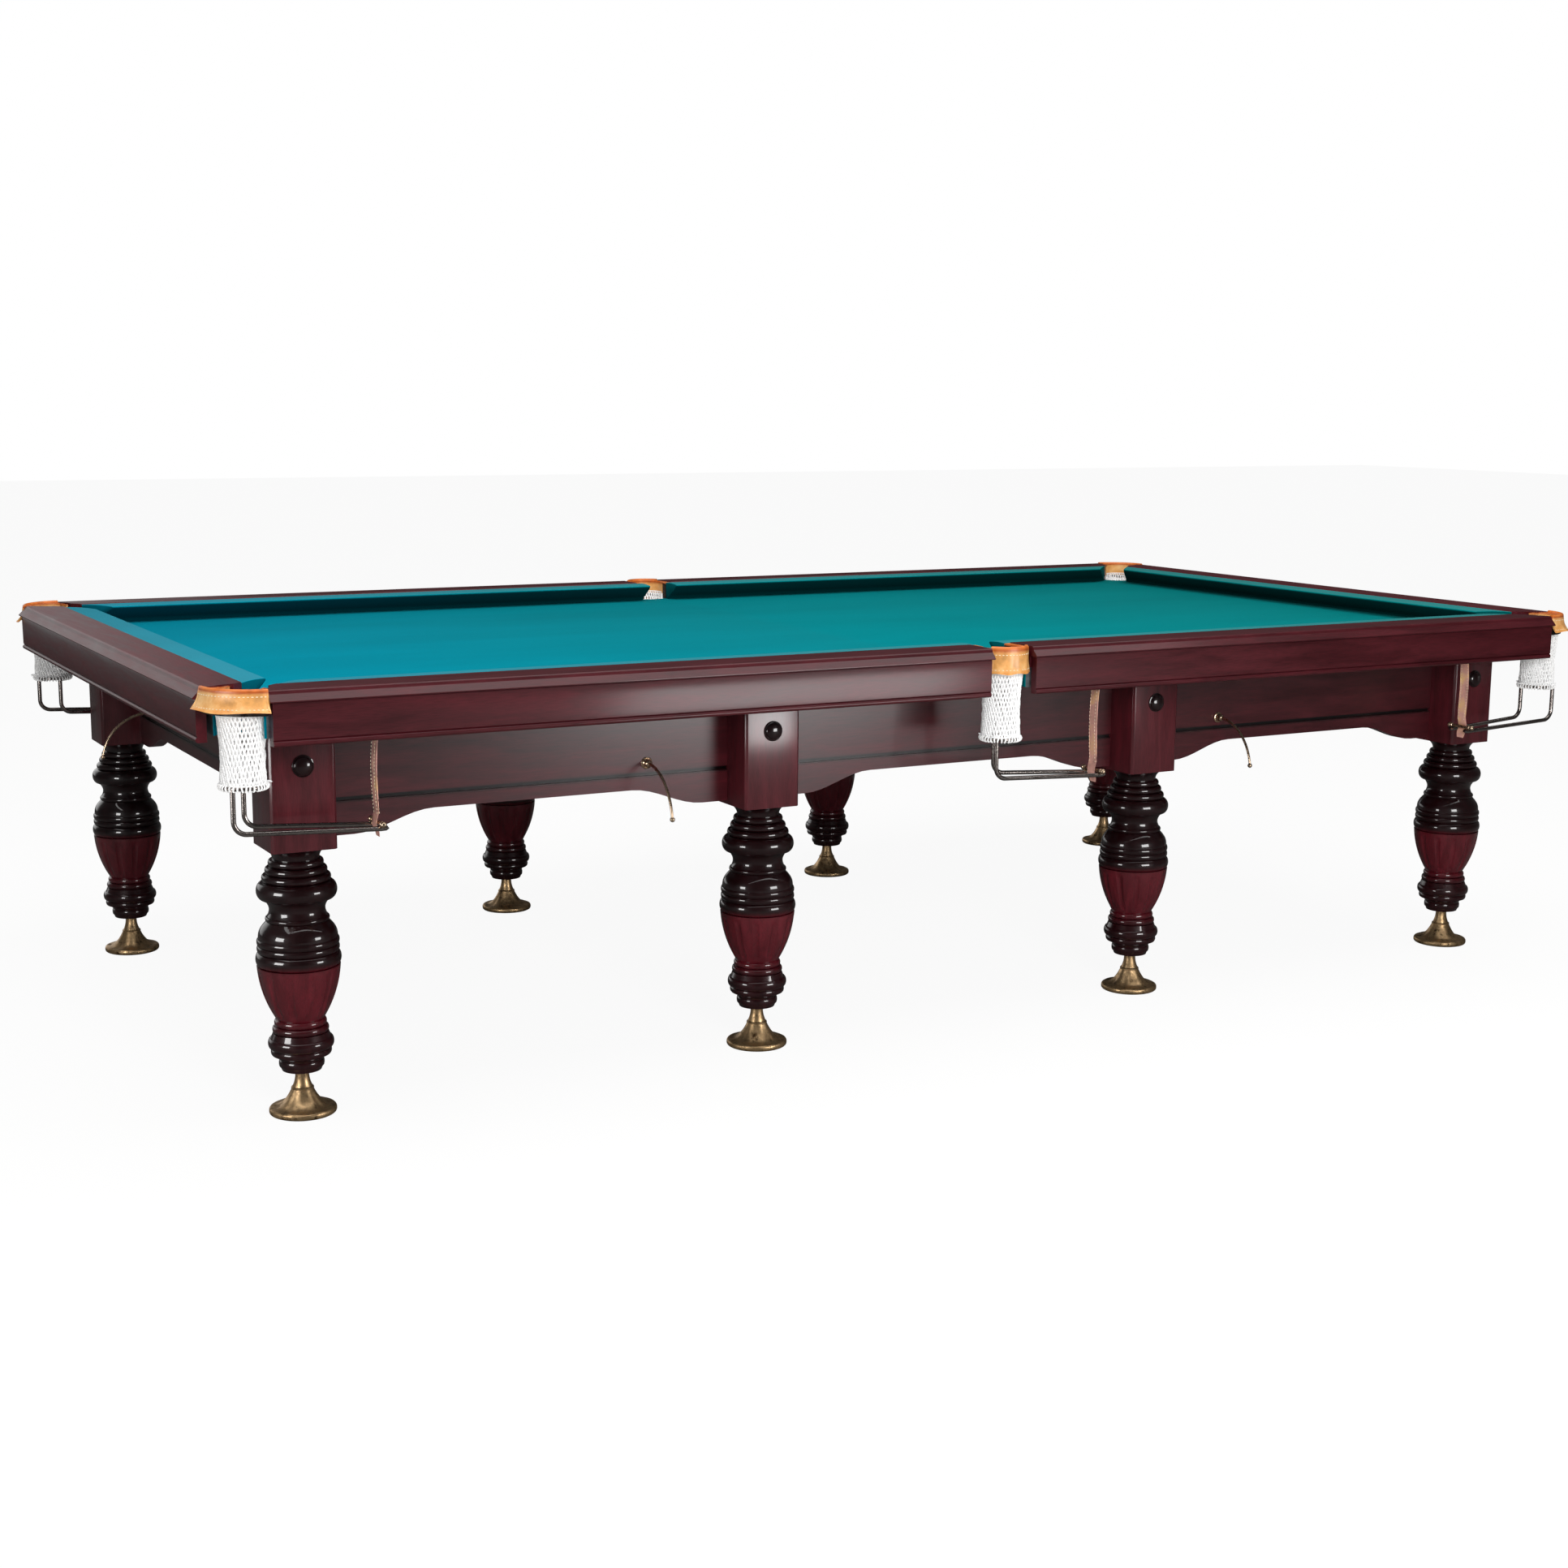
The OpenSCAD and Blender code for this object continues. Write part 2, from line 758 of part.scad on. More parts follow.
module lining(px, py) {
    translate([px, py, net_top + seat])
        difference() {
            cylinder(r = lining_r, h = cap_z - net_top - seat);
            translate([0, 0, -cut])
                cylinder(r = pocket_r, h = rail_h + 2 * cut);
        }
}

module corner_leather(sx, sy) {
    color(leather_colour)
        quarter(sx, sy) {
            translate([corner_x, corner_y, 0])
                rotate_extrude(angle = 90, convexity = 4, $fn = 96)
                    skirt_profile(corner_foot_r, corner_rim_r);
            translate([0, 0, cap_z - leather_t])
                linear_extrude(height = leather_t)
                    corner_cap_outline(corner_rim_r - leather_t + cut, pocket_r);
            difference() {
                lining(corner_px, corner_py);
                corner_slot(bed_h - cut, rail_h + 2 * cut);
            }
        }
}

module middle_leather(sy) {
    half_angle = asin(middle_arm / middle_foot_r);
    e = middle_throat;
    color(leather_colour)
        quarter(1, sy) {
            translate([0, middle_py, 0])
                rotate([0, 0, 90 - half_angle])
                    rotate_extrude(angle = 2 * half_angle, convexity = 4, $fn = 96)
                        skirt_profile(middle_foot_r, middle_rim_r);
            translate([0, 0, cap_z - leather_t])
                linear_extrude(height = leather_t)
                    middle_cap_outline(middle_rim_r - leather_t + cut, pocket_r);
            difference() {
                lining(0, middle_py);
                translate([-e, half_w, bed_h - cut])
                    cube([2 * e, middle_set, rail_h + 2 * cut]);
            }
        }
}

module pocket_irons() {
    color(iron_colour)
        translate([0, 0, bed_h])
            linear_extrude(height = iron_top - bed_h) {
                for (sx = signs(), sy = signs())
                    mirror([sx < 0 ? 1 : 0, 0])
                        mirror([0, sy < 0 ? 1 : 0])
                            corner_cap_outline(corner_iron_r - seat, iron_in_r);
                for (sy = signs())
                    mirror([0, sy < 0 ? 1 : 0])
                        middle_cap_outline(middle_iron_r - seat, iron_in_r);
            }
}

/* Nets and ball runners */

module net(h) {
    top_r = lining_r - seat;
    foot_z = net_top - h;
    rotate_extrude(convexity = 4)
        polygon(concat(
            sweep(top_r, ring_r, net_top, foot_z, 2),
            sweep(ring_r - net_t, top_r - net_t, foot_z, net_top, 2)
        ));
}

module corner_nets() {
    color(net_colour)
        four_quarters()
            difference() {
                translate([corner_px, corner_py, 0])
                    net(corner_net_h);
                corner_slot(bed_h - net_dip, rail_h);
            }
}

module middle_nets() {
    e = middle_throat;
    color(net_colour)
        two_sides()
            difference() {
                translate([0, middle_py, 0])
                    net(middle_net_h);
                translate([-e, half_w, bed_h - net_dip])
                    cube([2 * e, middle_set, rail_h]);
            }
}

// A round bar of radius r along points, each given as distance, height and heading in one upright plane
module bent_bar(points, r, sides = 10) {
    n = len(points);
    rings = [for (p = points, k = [0:sides - 1])
        let (t = 360 * k / sides)
            [p[0] - r * cos(t) * sin(p[2]), r * sin(t), p[1] + r * cos(t) * cos(p[2])]];
    walls = [for (i = [0:n - 2], k = [0:sides - 1])
        [i * sides + k, i * sides + (k + 1) % sides,
         (i + 1) * sides + (k + 1) % sides, (i + 1) * sides + k]];
    ends = [[for (k = [sides - 1:-1:0]) k], [for (k = [0:sides - 1]) (n - 1) * sides + k]];
    polyhedron(rings, concat(walls, ends), convexity = 4);
}

// One rod of a runner: it drops from the ring at start, bends and runs on to the point end
module runner_rod(start, end) {
    d = end - start;
    l = norm(d);
    a = atan(run_fall / (l - bend_r));
    drop = bend_drop - bend_r * cos(a);
    route = concat(
        [[0, -wire_r - seat, -90]],
        [for (p = arc(bend_r, -drop, bend_r, 180, 270 - a, 7)) [p[0], p[1], atan2(p[0] - bend_r, -p[1] - drop)]],
        [[l, -bend_drop - (l - bend_r) * tan(a), -a]]
    );
    translate([start[0], start[1], 0])
        rotate([0, 0, atan2(d[1], d[0])])
            bent_bar([for (p = route) [p[0], p[1], p[2]]], rod_r);
}

module net_ring() {
    rotate_extrude(convexity = 4)
        translate([ring_r, 0])
            circle(r = wire_r);
}

// The two rods of a runner, drawn with its ring at the origin and its strap towards +X
module runner() {
    inner = ring_r * cos(inner_angle);
    outer = ring_r * cos(outer_angle);
    runner_rod([inner, ring_r * sin(inner_angle)], [run_l + 12, rod_pitch / 2]);
    runner_rod([outer, -ring_r * sin(outer_angle)], [run_l + 12, -rod_pitch / 2]);
}

// Puts a shape under the corner net of a quarter, running back towards the middle
module under_corner(sx, sy) {
    quarter(sx, sy)
        translate([corner_px, corner_py, corner_net_foot - wire_r - seat])
            mirror([1, 0, 0])
                mirror([0, 1, 0])
                    children();
}

module under_middle(sy) {
    quarter(1, sy)
        translate([0, middle_py, middle_net_foot - wire_r - seat])
            mirror([0, 1, 0])
                children();
}

module net_rings() {
    color(steel_colour) {
        for (sx = signs(), sy = signs()) under_corner(sx, sy) net_ring();
        for (sy = signs()) under_middle(sy) net_ring();
    }
}

module ball_runners() {
    color(steel_colour) {
        for (sx = signs(), sy = signs()) under_corner(sx, sy) runner();
        for (sy = signs()) under_middle(sy) runner();
    }
}

// Height of the cross bar over the ring, where it lies on the two rods
bar_z = -bend_drop - run_fall * run_l / (run_l + 12) + rod_r + bar_r + seat;

module strap_bar() {
    reach = rod_pitch / 2 + rod_r + bar_ball_r;
    translate([run_l, -reach, bar_z])
        rotate([-90, 0, 0])
            cylinder(r = bar_r, h = 2 * reach);
    for (s = signs())
        translate([run_l, s * reach, bar_z])
            sphere(r = bar_ball_r);
}

module strap_bars() {
    color(brass_colour) {
        for (sx = signs(), sy = signs()) under_corner(sx, sy) strap_bar();
        for (sy = signs()) under_middle(sy) strap_bar();
    }
}

// A strap that hangs from the slate and holds the cross bar, with its top at height top_z
module strap(top_z) {
    foot_z = bar_z - strap_tail;
    difference() {
        union() {
            translate([run_l - strap_t / 2, -strap_w / 2, foot_z])
                cube([strap_t, strap_w, top_z - foot_z]);
            translate([run_l - strap_t / 2, -strap_w / 2, top_z - strap_t])
                cube([strap_tab, strap_w, strap_t]);
            translate([run_l, -strap_w / 2, bar_z])
                rotate([-90, 0, 0])
                    cylinder(r = bar_r + strap_t, h = strap_w);
        }
        translate([run_l, -strap_w, bar_z])
            rotate([-90, 0, 0])
                cylinder(r = bar_r + seat, h = 2 * strap_w);
    }
}

module runner_straps() {
    corner_top = slate_foot - corner_net_foot + wire_r + seat;
    middle_top = slate_foot - middle_net_foot + wire_r + seat;
    color(leather_colour) {
        for (sx = signs(), sy = signs()) under_corner(sx, sy) strap(corner_top);
        for (sy = signs()) under_middle(sy) strap(middle_top);
    }
}

/* Bed */

// The notch's flanks stand a little inside its round, so they meet it at an angle
module corner_notch(r) {
    flank = r - notch_flank_in;
    translate([corner_px, corner_py]) {
        circle(r = r);
        rotate(45)
            translate([0, -flank])
                square([slate_lap + corner_cut, 2 * flank]);
    }
}

module middle_notch(r) {
    flank = r - notch_flank_in;
    translate([0, middle_py]) {
        circle(r = r);
        translate([-flank, 0])
            square([2 * flank, slate_lap]);
    }
}

module notches(r) {
    for (sx = signs(), sy = signs())
        mirror([sx < 0 ? 1 : 0, 0])
            mirror([0, sy < 0 ? 1 : 0])
                corner_notch(r);
    for (sy = signs())
        mirror([0, sy < 0 ? 1 : 0])
            middle_notch(r);
}

module all_rail_bolts(r, z0, h) {
    four_quarters()
        side_bolts(r, z0, h);
    for (sx = signs())
        quarter(sx, 1)
            end_bolts(r, z0, h);
}

module slates() {
    color(slate_colour)
        difference() {
            for (k = [0:slab_count - 1])
                translate([k * slab_l - slate_x + seat / 2, -slate_y, slate_foot])
                    cube([slab_l - seat, 2 * slate_y, slate_t]);
            translate([0, 0, slate_foot - cut])
                linear_extrude(height = slate_t + 2 * cut)
                    notches(notch_r + cloth_t);
            all_rail_bolts(rail_bolt_r + seat, slate_foot - cut, slate_t + 2 * cut);
        }
}

// The cloth lies on the slate and turns down into the six notches
module bed_cloth() {
    color(cloth_colour) {
        difference() {
            translate([-slate_x, -slate_y, slate_top])
                cube([2 * slate_x, 2 * slate_y, cloth_t]);
            translate([0, 0, slate_top - cut])
                linear_extrude(height = cloth_t + 2 * cut)
                    notches(notch_r);
            all_rail_bolts(rail_bolt_r + seat, slate_top - cut, cloth_t + 2 * cut);
        }
        translate([0, 0, slate_foot])
            linear_extrude(height = slate_t)
                intersection() {
                    square([2 * slate_x, 2 * slate_y], center = true);
                    difference() {
                        notches(notch_r + cloth_t);
                        notches(notch_r);
                    }
                }
    }
}

module rail_bolts() {
    color(steel_colour) {
        all_rail_bolts(rail_bolt_r, slate_foot, slate_t + cloth_t + rail_bolt_grip);
        all_rail_bolts(rail_bolt_r + 4, slate_foot - 6, 6);
    }
}

/* Frame */

module block_bolt_axis(i, sy) {
    translate([leg_xs[i], sy * block_face_y, bolt_z])
        rotate([90 * sy, 0, 0])
            children();
}

module long_beams() {
    color(wood_colour)
        difference() {
            two_sides()
                translate([-beam_end_x, beam_back_y, beam_foot])
                    cube([2 * beam_end_x, beam_t, beam_h]);
            for (i = [0:3], sy = signs())
                block_bolt_axis(i, sy)
                    translate([0, 0, block_w - cut])
                        cylinder(r = block_bolt_r + stem_gap, h = bolt_grip + cut + seat);
        }
}

module cross_beam(x) {
    translate([x - cross_t / 2, -beam_back_y, beam_foot])
        cube([cross_t, 2 * beam_back_y, beam_h]);
}

module cross_beams() {
    end_x = apron_x - apron_t - cross_t / 2;
    color(wood_colour) {
        for (k = [1:slab_count - 1]) cross_beam(k * slab_l - slate_x);
        for (s = signs()) cross_beam(s * end_x);
    }
}

// Outline of an apron board, whose foot rises by an S curve from each end
module apron_outline(l) {
    e = l / 2;
    n = 8;
    function rise(k) = apron_foot + arch_rise * (1 - cos(180 * k / n)) / 2;
    polygon(concat(
        [[-e, slate_foot], [-e, apron_foot]],
        [for (k = [0:n]) [-e + arch_land + arch_run * k / n, rise(k)]],
        [for (k = [n:-1:0]) [e - arch_land - arch_run * k / n, rise(k)]],
        [[e, apron_foot], [e, slate_foot]]
    ));
}

// Apron board of length l with its face towards -Y and its back at y = 0
module apron_board(l) {
    difference() {
        rotate([90, 0, 0])
            linear_extrude(height = apron_t)
                apron_outline(l);
        translate([-l, -apron_t - cut, apron_foot + groove_up - groove_h / 2])
            cube([2 * l, groove_d + cut, groove_h]);
    }
}

module side_aprons(sy) {
    color(wood_colour)
        quarter(1, -sy)
            for (i = [0:2])
                translate([(leg_xs[i] + leg_xs[i + 1]) / 2, apron_t - apron_y, 0])
                    apron_board(leg_xs[i + 1] - leg_xs[i] - block_w - 2 * seat);
}

module end_apron(sx) {
    color(wood_colour)
        translate([sx * (apron_x - apron_t), 0, 0])
            rotate([0, 0, 90 * sx])
                apron_board(2 * beam_back_y);
}

module block_bolts() {
    color(steel_colour)
        for (i = [0:3], sy = signs())
            block_bolt_axis(i, sy)
                translate([0, 0, counterbore_d - bolt_head_h]) {
                    cylinder(r = bolt_head_r, h = bolt_head_h, $fn = 6);
                    cylinder(r = block_bolt_r, h = block_w - counterbore_d + bolt_head_h + bolt_grip);
                }
}

// Domed covers over the block bolts
module bolt_covers() {
    rim = 3;
    dome_h = cover_h - rim;
    dome_w = cover_r - 2;
    dome_r = (dome_w * dome_w + dome_h * dome_h) / (2 * dome_h);
    dome_a = asin(dome_w / dome_r);
    color(wood_colour)
        for (i = [0:3], sy = signs())
            block_bolt_axis(i, sy)
                mirror([0, 0, 1])
                    rotate_extrude()
                        polygon(concat(
                            [[0, 0], [cover_r, 0], [cover_r, rim - 1], [cover_r - 1, rim]],
                            arc(0, rim + dome_h - dome_r, dome_r, 90 - dome_a, 90, 8)
                        ));
}

/* Rest hooks */

// One hook on a face that looks towards -Y, with its rosette at the origin
module rest_hook() {
    rotate([90, 0, 0])
        cylinder(r = rosette_r, h = rosette_h);
    translate([0, -hook_out, 0])
        sphere(r = hook_out - seat);
    translate([0, -hook_out, -hook_bend])
        rotate([0, -90, 0])
            rotate([0, 0, -hook_sweep])
                rotate_extrude(angle = hook_sweep, $fn = 96)
                    translate([hook_bend, 0])
                        circle(r = hook_rod_r, $fn = 24);
    translate([0, -hook_out - hook_bend * sin(hook_sweep), hook_bend * (cos(hook_sweep) - 1)])
        sphere(r = hook_rod_r + tip_over);
}

module rest_hooks() {
    color(brass_colour) {
        for (s = signs())
            translate([s * hook_x, -apron_y, hook_z])
                rest_hook();
        translate([-apron_x, hook_y, hook_z])
            rotate([0, 0, -90])
                rest_hook();
    }
}

leg(0, -1);  // leg_front_1
leg(1, -1);  // leg_front_2
leg(2, -1);  // leg_front_3
leg(3, -1);  // leg_front_4
leg(0, 1);  // leg_back_1
leg(1, 1);  // leg_back_2
leg(2, 1);  // leg_back_3
leg(3, 1);  // leg_back_4
foot(0, -1);  // foot_front_1
foot(1, -1);  // foot_front_2
foot(2, -1);  // foot_front_3
foot(3, -1);  // foot_front_4
foot(0, 1);  // foot_back_1
foot(1, 1);  // foot_back_2
foot(2, 1);  // foot_back_3
foot(3, 1);  // foot_back_4
side_rail(-1, -1);  // rail_front_left
side_rail(1, -1);  // rail_front_right
side_rail(-1, 1);  // rail_back_left
side_rail(1, 1);  // rail_back_right
end_rail(-1);  // rail_left_end
end_rail(1);  // rail_right_end
side_cushion(-1, -1);  // cushion_front_left
side_cushion(1, -1);  // cushion_front_right
side_cushion(-1, 1);  // cushion_back_left
side_cushion(1, 1);  // cushion_back_right
end_cushion(-1);  // cushion_left_end
end_cushion(1);  // cushion_right_end
side_fascia(-1, -1);  // fascia_front_left
side_fascia(1, -1);  // fascia_front_right
side_fascia(-1, 1);  // fascia_back_left
side_fascia(1, 1);  // fascia_back_right
end_fascia(-1);  // fascia_left_end
end_fascia(1);  // fascia_right_end
corner_leather(-1, -1);  // leather_front_left
middle_leather(-1);  // leather_front_middle
corner_leather(1, -1);  // leather_front_right
corner_leather(-1, 1);  // leather_back_left
middle_leather(1);  // leather_back_middle
corner_leather(1, 1);  // leather_back_right
pocket_irons();
corner_nets();
middle_nets();
side_aprons(-1);  // apron_front
side_aprons(1);  // apron_back
end_apron(-1);  // apron_left_end
end_apron(1);  // apron_right_end
long_beams();
cross_beams();
slates();
bed_cloth();
net_rings();
ball_runners();
runner_straps();
strap_bars();
rest_hooks();
bolt_covers();
block_bolts();
rail_bolts();
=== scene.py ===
"""Russian billiards table with turned legs, net pockets and ball runners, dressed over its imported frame."""
import math
import random

import bmesh
import bpy
from mathutils import Matrix, Vector


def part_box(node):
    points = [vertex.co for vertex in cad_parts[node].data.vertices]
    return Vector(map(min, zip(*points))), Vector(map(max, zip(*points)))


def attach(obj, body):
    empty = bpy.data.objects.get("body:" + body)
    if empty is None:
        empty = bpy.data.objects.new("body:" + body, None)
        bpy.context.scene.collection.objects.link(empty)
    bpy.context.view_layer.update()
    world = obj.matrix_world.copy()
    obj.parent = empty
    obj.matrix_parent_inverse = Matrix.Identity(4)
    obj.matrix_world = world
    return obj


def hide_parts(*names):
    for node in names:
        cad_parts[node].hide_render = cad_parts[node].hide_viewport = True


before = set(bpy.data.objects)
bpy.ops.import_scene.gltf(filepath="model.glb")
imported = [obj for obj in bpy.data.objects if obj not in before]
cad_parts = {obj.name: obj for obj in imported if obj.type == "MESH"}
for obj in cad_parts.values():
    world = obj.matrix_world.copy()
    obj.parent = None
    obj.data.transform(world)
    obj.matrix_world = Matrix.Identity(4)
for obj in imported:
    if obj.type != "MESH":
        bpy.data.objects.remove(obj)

bl_info = {
    "name": "Russian billiards table",
    "version": (1, 0, 0),
    "blender": (4, 5, 0),
    "location": "View3D > Sidebar > Billiards",
    "description": "Builds the visible pieces of a russian billiards table on its frame",
    "category": "Object",
}

# The body that everything but the feet rides on
TABLE = "table"
SIDES = (-1, 1)
# Name and signs in X and Y of each quarter or pocket, with 0 in X for a middle one
CORNERS = (("front_left", -1, -1), ("back_left", -1, 1), ("front_right", 1, -1), ("back_right", 1, 1))
MIDDLES = (("front_middle", 0, -1), ("back_middle", 0, 1))
POCKETS = CORNERS + MIDDLES
# Clear distance between seated pieces, and thickness of the bed cloth
SEAT = 0.0003
CLOTH_T = 0.001
# Drop from the rail's top to the flat of a leather, and from there to the head of a net
LEATHER_DROP = 0.002
NET_DROP = 0.0303
# Drops below the slate of a block bolt's axis, of a rest hook and of the middle of the groove in an apron
BOLT_DROP = 0.077
HOOK_DROP = 0.14
GROOVE_DROP = 0.164


def hex_colour(text):
    """Linear red, green and blue of an sRGB colour written as #rrggbb."""
    channels = [int(text[i:i + 2], 16) / 255 for i in (1, 3, 5)]
    return tuple(c / 12.92 if c <= 0.04045 else ((c + 0.055) / 1.055) ** 2.4 for c in channels)


def length(name, default, description):
    """A length property in metres."""
    return bpy.props.FloatProperty(name=name, default=default, min=0.0, precision=4,
                                   unit="LENGTH", description=description)


def angle(name, degrees, description):
    """An angle property whose default is given in degrees."""
    return bpy.props.FloatProperty(name=name, default=math.radians(degrees), subtype="ANGLE",
                                   description=description)


def colour(name, default, description):
    """A colour property whose default is written in sRGB hex."""
    return bpy.props.FloatVectorProperty(name=name, default=hex_colour(default), min=0.0, max=1.0,
                                         size=3, subtype="COLOR", description=description)


class TableSizes(bpy.types.PropertyGroup):
    """Sizes of the bed, rails and pockets, the same as in the part's frame"""
    field_l: length("Field length", 3.2, "Distance between the end cushion noses")
    field_w: length("Field width", 1.6, "Distance between the side cushion noses")
    bed_h: length("Bed height", 0.837, "Height of the cloth above the floor")
    slate_t: length("Slate", 0.045, "Thickness of the slate under the cloth")
    slate_reach: length("Slate reach", 0.13, "Reach of the slate outside the cushion noses")
    cushion_w: length("Cushion width", 0.065, "Width of a cushion from its nose to the wood")
    nose_h: length("Nose height", 0.043, "Height of the cushion nose above the cloth")
    rail_h: length("Rail height", 0.048, "Height of the rail top above the cloth")
    rail_out: length("Rail reach", 0.17, "Reach of the rail's lip outside the nose line")
    corner_cut: length("Corner cut", 0.115, "Length that the rails stop short of the outer corner")
    rail_gap: length("Rail gap", 0.108, "Gap between the long rails at a middle pocket")
    corner_mouth: length("Corner mouth", 0.073, "Width between the jaws of a corner pocket")
    middle_mouth: length("Middle mouth", 0.083, "Width between the jaws of a middle pocket")
    pocket_r: length("Pocket radius", 0.044, "Radius of a pocket hole")
    corner_set: length("Corner pocket", 0.088, "Set-out of a corner pocket from the field's corner")
    middle_set: length("Middle pocket", 0.115, "Set-out of a middle pocket from the long nose line")
    notch_r: length("Slate notch", 0.054, "Radius of the notch in the slate round a pocket")


class LegSizes(bpy.types.PropertyGroup):
    """Sizes of the turned legs and their brass feet"""
    end_x: length("End legs", 1.55, "Distance of the end legs from the middle of the table")
    side_y: length("Leg rows", 0.742, "Distance of the legs from the long axis")
    block_w: length("Block", 0.132, "Side of the square block of a leg")
    flute_depth: length("Flute depth", 0.003, "Depth of a flute in the tulip")
    flute_half: length("Flute half width", 0.0062, "Half the width of a flute")
    foot_r: length("Foot radius", 0.067, "Radius of the brass foot")
    flutes: bpy.props.IntProperty(name="Flutes", default=12, min=6, max=24,
                                  description="Number of flutes round the tulip")


class NetSizes(bpy.types.PropertyGroup):
    """Sizes of the nets, runners and straps"""
    corner_h: length("Corner net", 0.149, "Height of a corner net")
    middle_h: length("Middle net", 0.168, "Height of a middle net")
    head_r: length("Net head", 0.0462, "Radius of a net at its head")
    dip: length("Net dip", 0.0205, "Drop of a net's head where the balls come in")
    cord_r: length("Net cord", 0.0019, "Radius of the cotton cord of the nets")
    ring_r: length("Ring", 0.041, "Radius of the ring at the foot of a net")
    wire_r: length("Ring wire", 0.004, "Radius of the wire of that ring")
    rod_r: length("Rod", 0.005, "Radius of a runner rod")
    run_l: length("Run", 0.258, "Run of a ball runner from its pocket to its strap")
    strap_w: length("Strap width", 0.028, "Width of a runner strap")
    meshes: bpy.props.IntProperty(name="Meshes", default=36, min=12, max=40,
                                  description="Number of meshes round a net")


class FinishColours(bpy.types.PropertyGroup):
    """Main colour of each finish"""
    mahogany: colour("Mahogany", "#4a121a", "Stained mahogany under its lacquer")
    cloth: colour("Cloth", "#00757f", "Wool billiard cloth")
    leather: colour("Leather", "#dfa05a", "Waxed bridle leather of the pockets")
    cotton: colour("Net", "#fafafa", "Bleached cotton of the nets")
    brass: colour("Brass", "#c6a67c", "Cast brass of the feet")
    slate: colour("Slate", "#5d6266", "Sawn slate")


class StageSettings(bpy.types.PropertyGroup):
    """Camera and floor"""
    camera_at: bpy.props.FloatVectorProperty(name="Camera", default=(-2.798, -4.989, 1.438), size=3,
                                             subtype="TRANSLATION", description="Place of the camera")
    heading: angle("Heading", 28.914, "Heading of the camera from +Y towards +X")
    pitch: angle("Pitch", 9.995, "How far the camera looks down")
    roll: angle("Roll", 0.471, "Roll of the camera")
    focal_px: bpy.props.FloatProperty(name="Focal length", default=2760.6, min=100.0,
                                      description="Focal length in pixels of a picture 1932 wide")
    floor: colour("Floor", "#f4f3f1", "Plain pale floor")


GROUPS = {
    "billiard_sizes": TableSizes,
    "billiard_legs": LegSizes,
    "billiard_nets": NetSizes,
    "billiard_finishes": FinishColours,
    "billiard_stage": StageSettings,
}


# Materials

# Sockets that are known by number: those of a Map Range, and those of a Mix of colours with its result
VALUE, LOW, HIGH, TO_LOW, TO_HIGH = range(5)
SHARE, FIRST, SECOND, MIXED = 0, 6, 7, 2
TIMES = {"data_type": "RGBA", "blend_type": "MULTIPLY", SHARE: 1.0}


def add_node(tree, kind, settings=None, links=None):
    """Adds a node of that kind, sets its properties and sockets, and links other nodes or sockets into it."""
    node = tree.nodes.new(kind)
    for key, value in (settings or {}).items():
        if key == "stops":
            ramp = node.color_ramp
            while len(ramp.elements) < len(value):
                ramp.elements.new(0.5)
            for element, (at, tint) in zip(ramp.elements, value):
                element.position = at
                element.color = (*tint, 1.0)
        elif isinstance(key, str) and hasattr(node, key):
            setattr(node, key, value)
        else:
            node.inputs[key].default_value = value
    link_into(tree, node, links or {})
    return node


def link_into(tree, node, links):
    """Links each socket, or the first output of each node, to the input that it is named for."""
    for key, source in links.items():
        socket = source.outputs[0] if isinstance(source, bpy.types.Node) else source
        tree.links.new(socket, node.inputs[key])


def new_finish(name, **surface):
    """A material with its shader, whose fixed values are set on the shader's own sockets."""
    material = bpy.data.materials.new(name)
    material.use_nodes = True
    tree = material.node_tree
    shader = tree.nodes["Principled BSDF"]
    for key, value in surface.items():
        shader.inputs[key.replace("_", " ")].default_value = value
    return material, tree, shader


def object_space(tree, scale=(1.0, 1.0, 1.0)):
    """Object coordinates in metres, stretched by scale."""
    place = add_node(tree, "ShaderNodeTexCoord").outputs["Object"]
    return add_node(tree, "ShaderNodeMapping", {"Scale": scale}, {"Vector": place})


def grey(value):
    """A grey of that value, in linear light."""
    return (value, value, value)


def shade(base, factor):
    """A base colour made lighter or darker."""
    return tuple(min(1.0, c * factor) for c in base[:3])


def opaque(base):
    """A base colour with full cover."""
    return (*base[:3], 1.0)


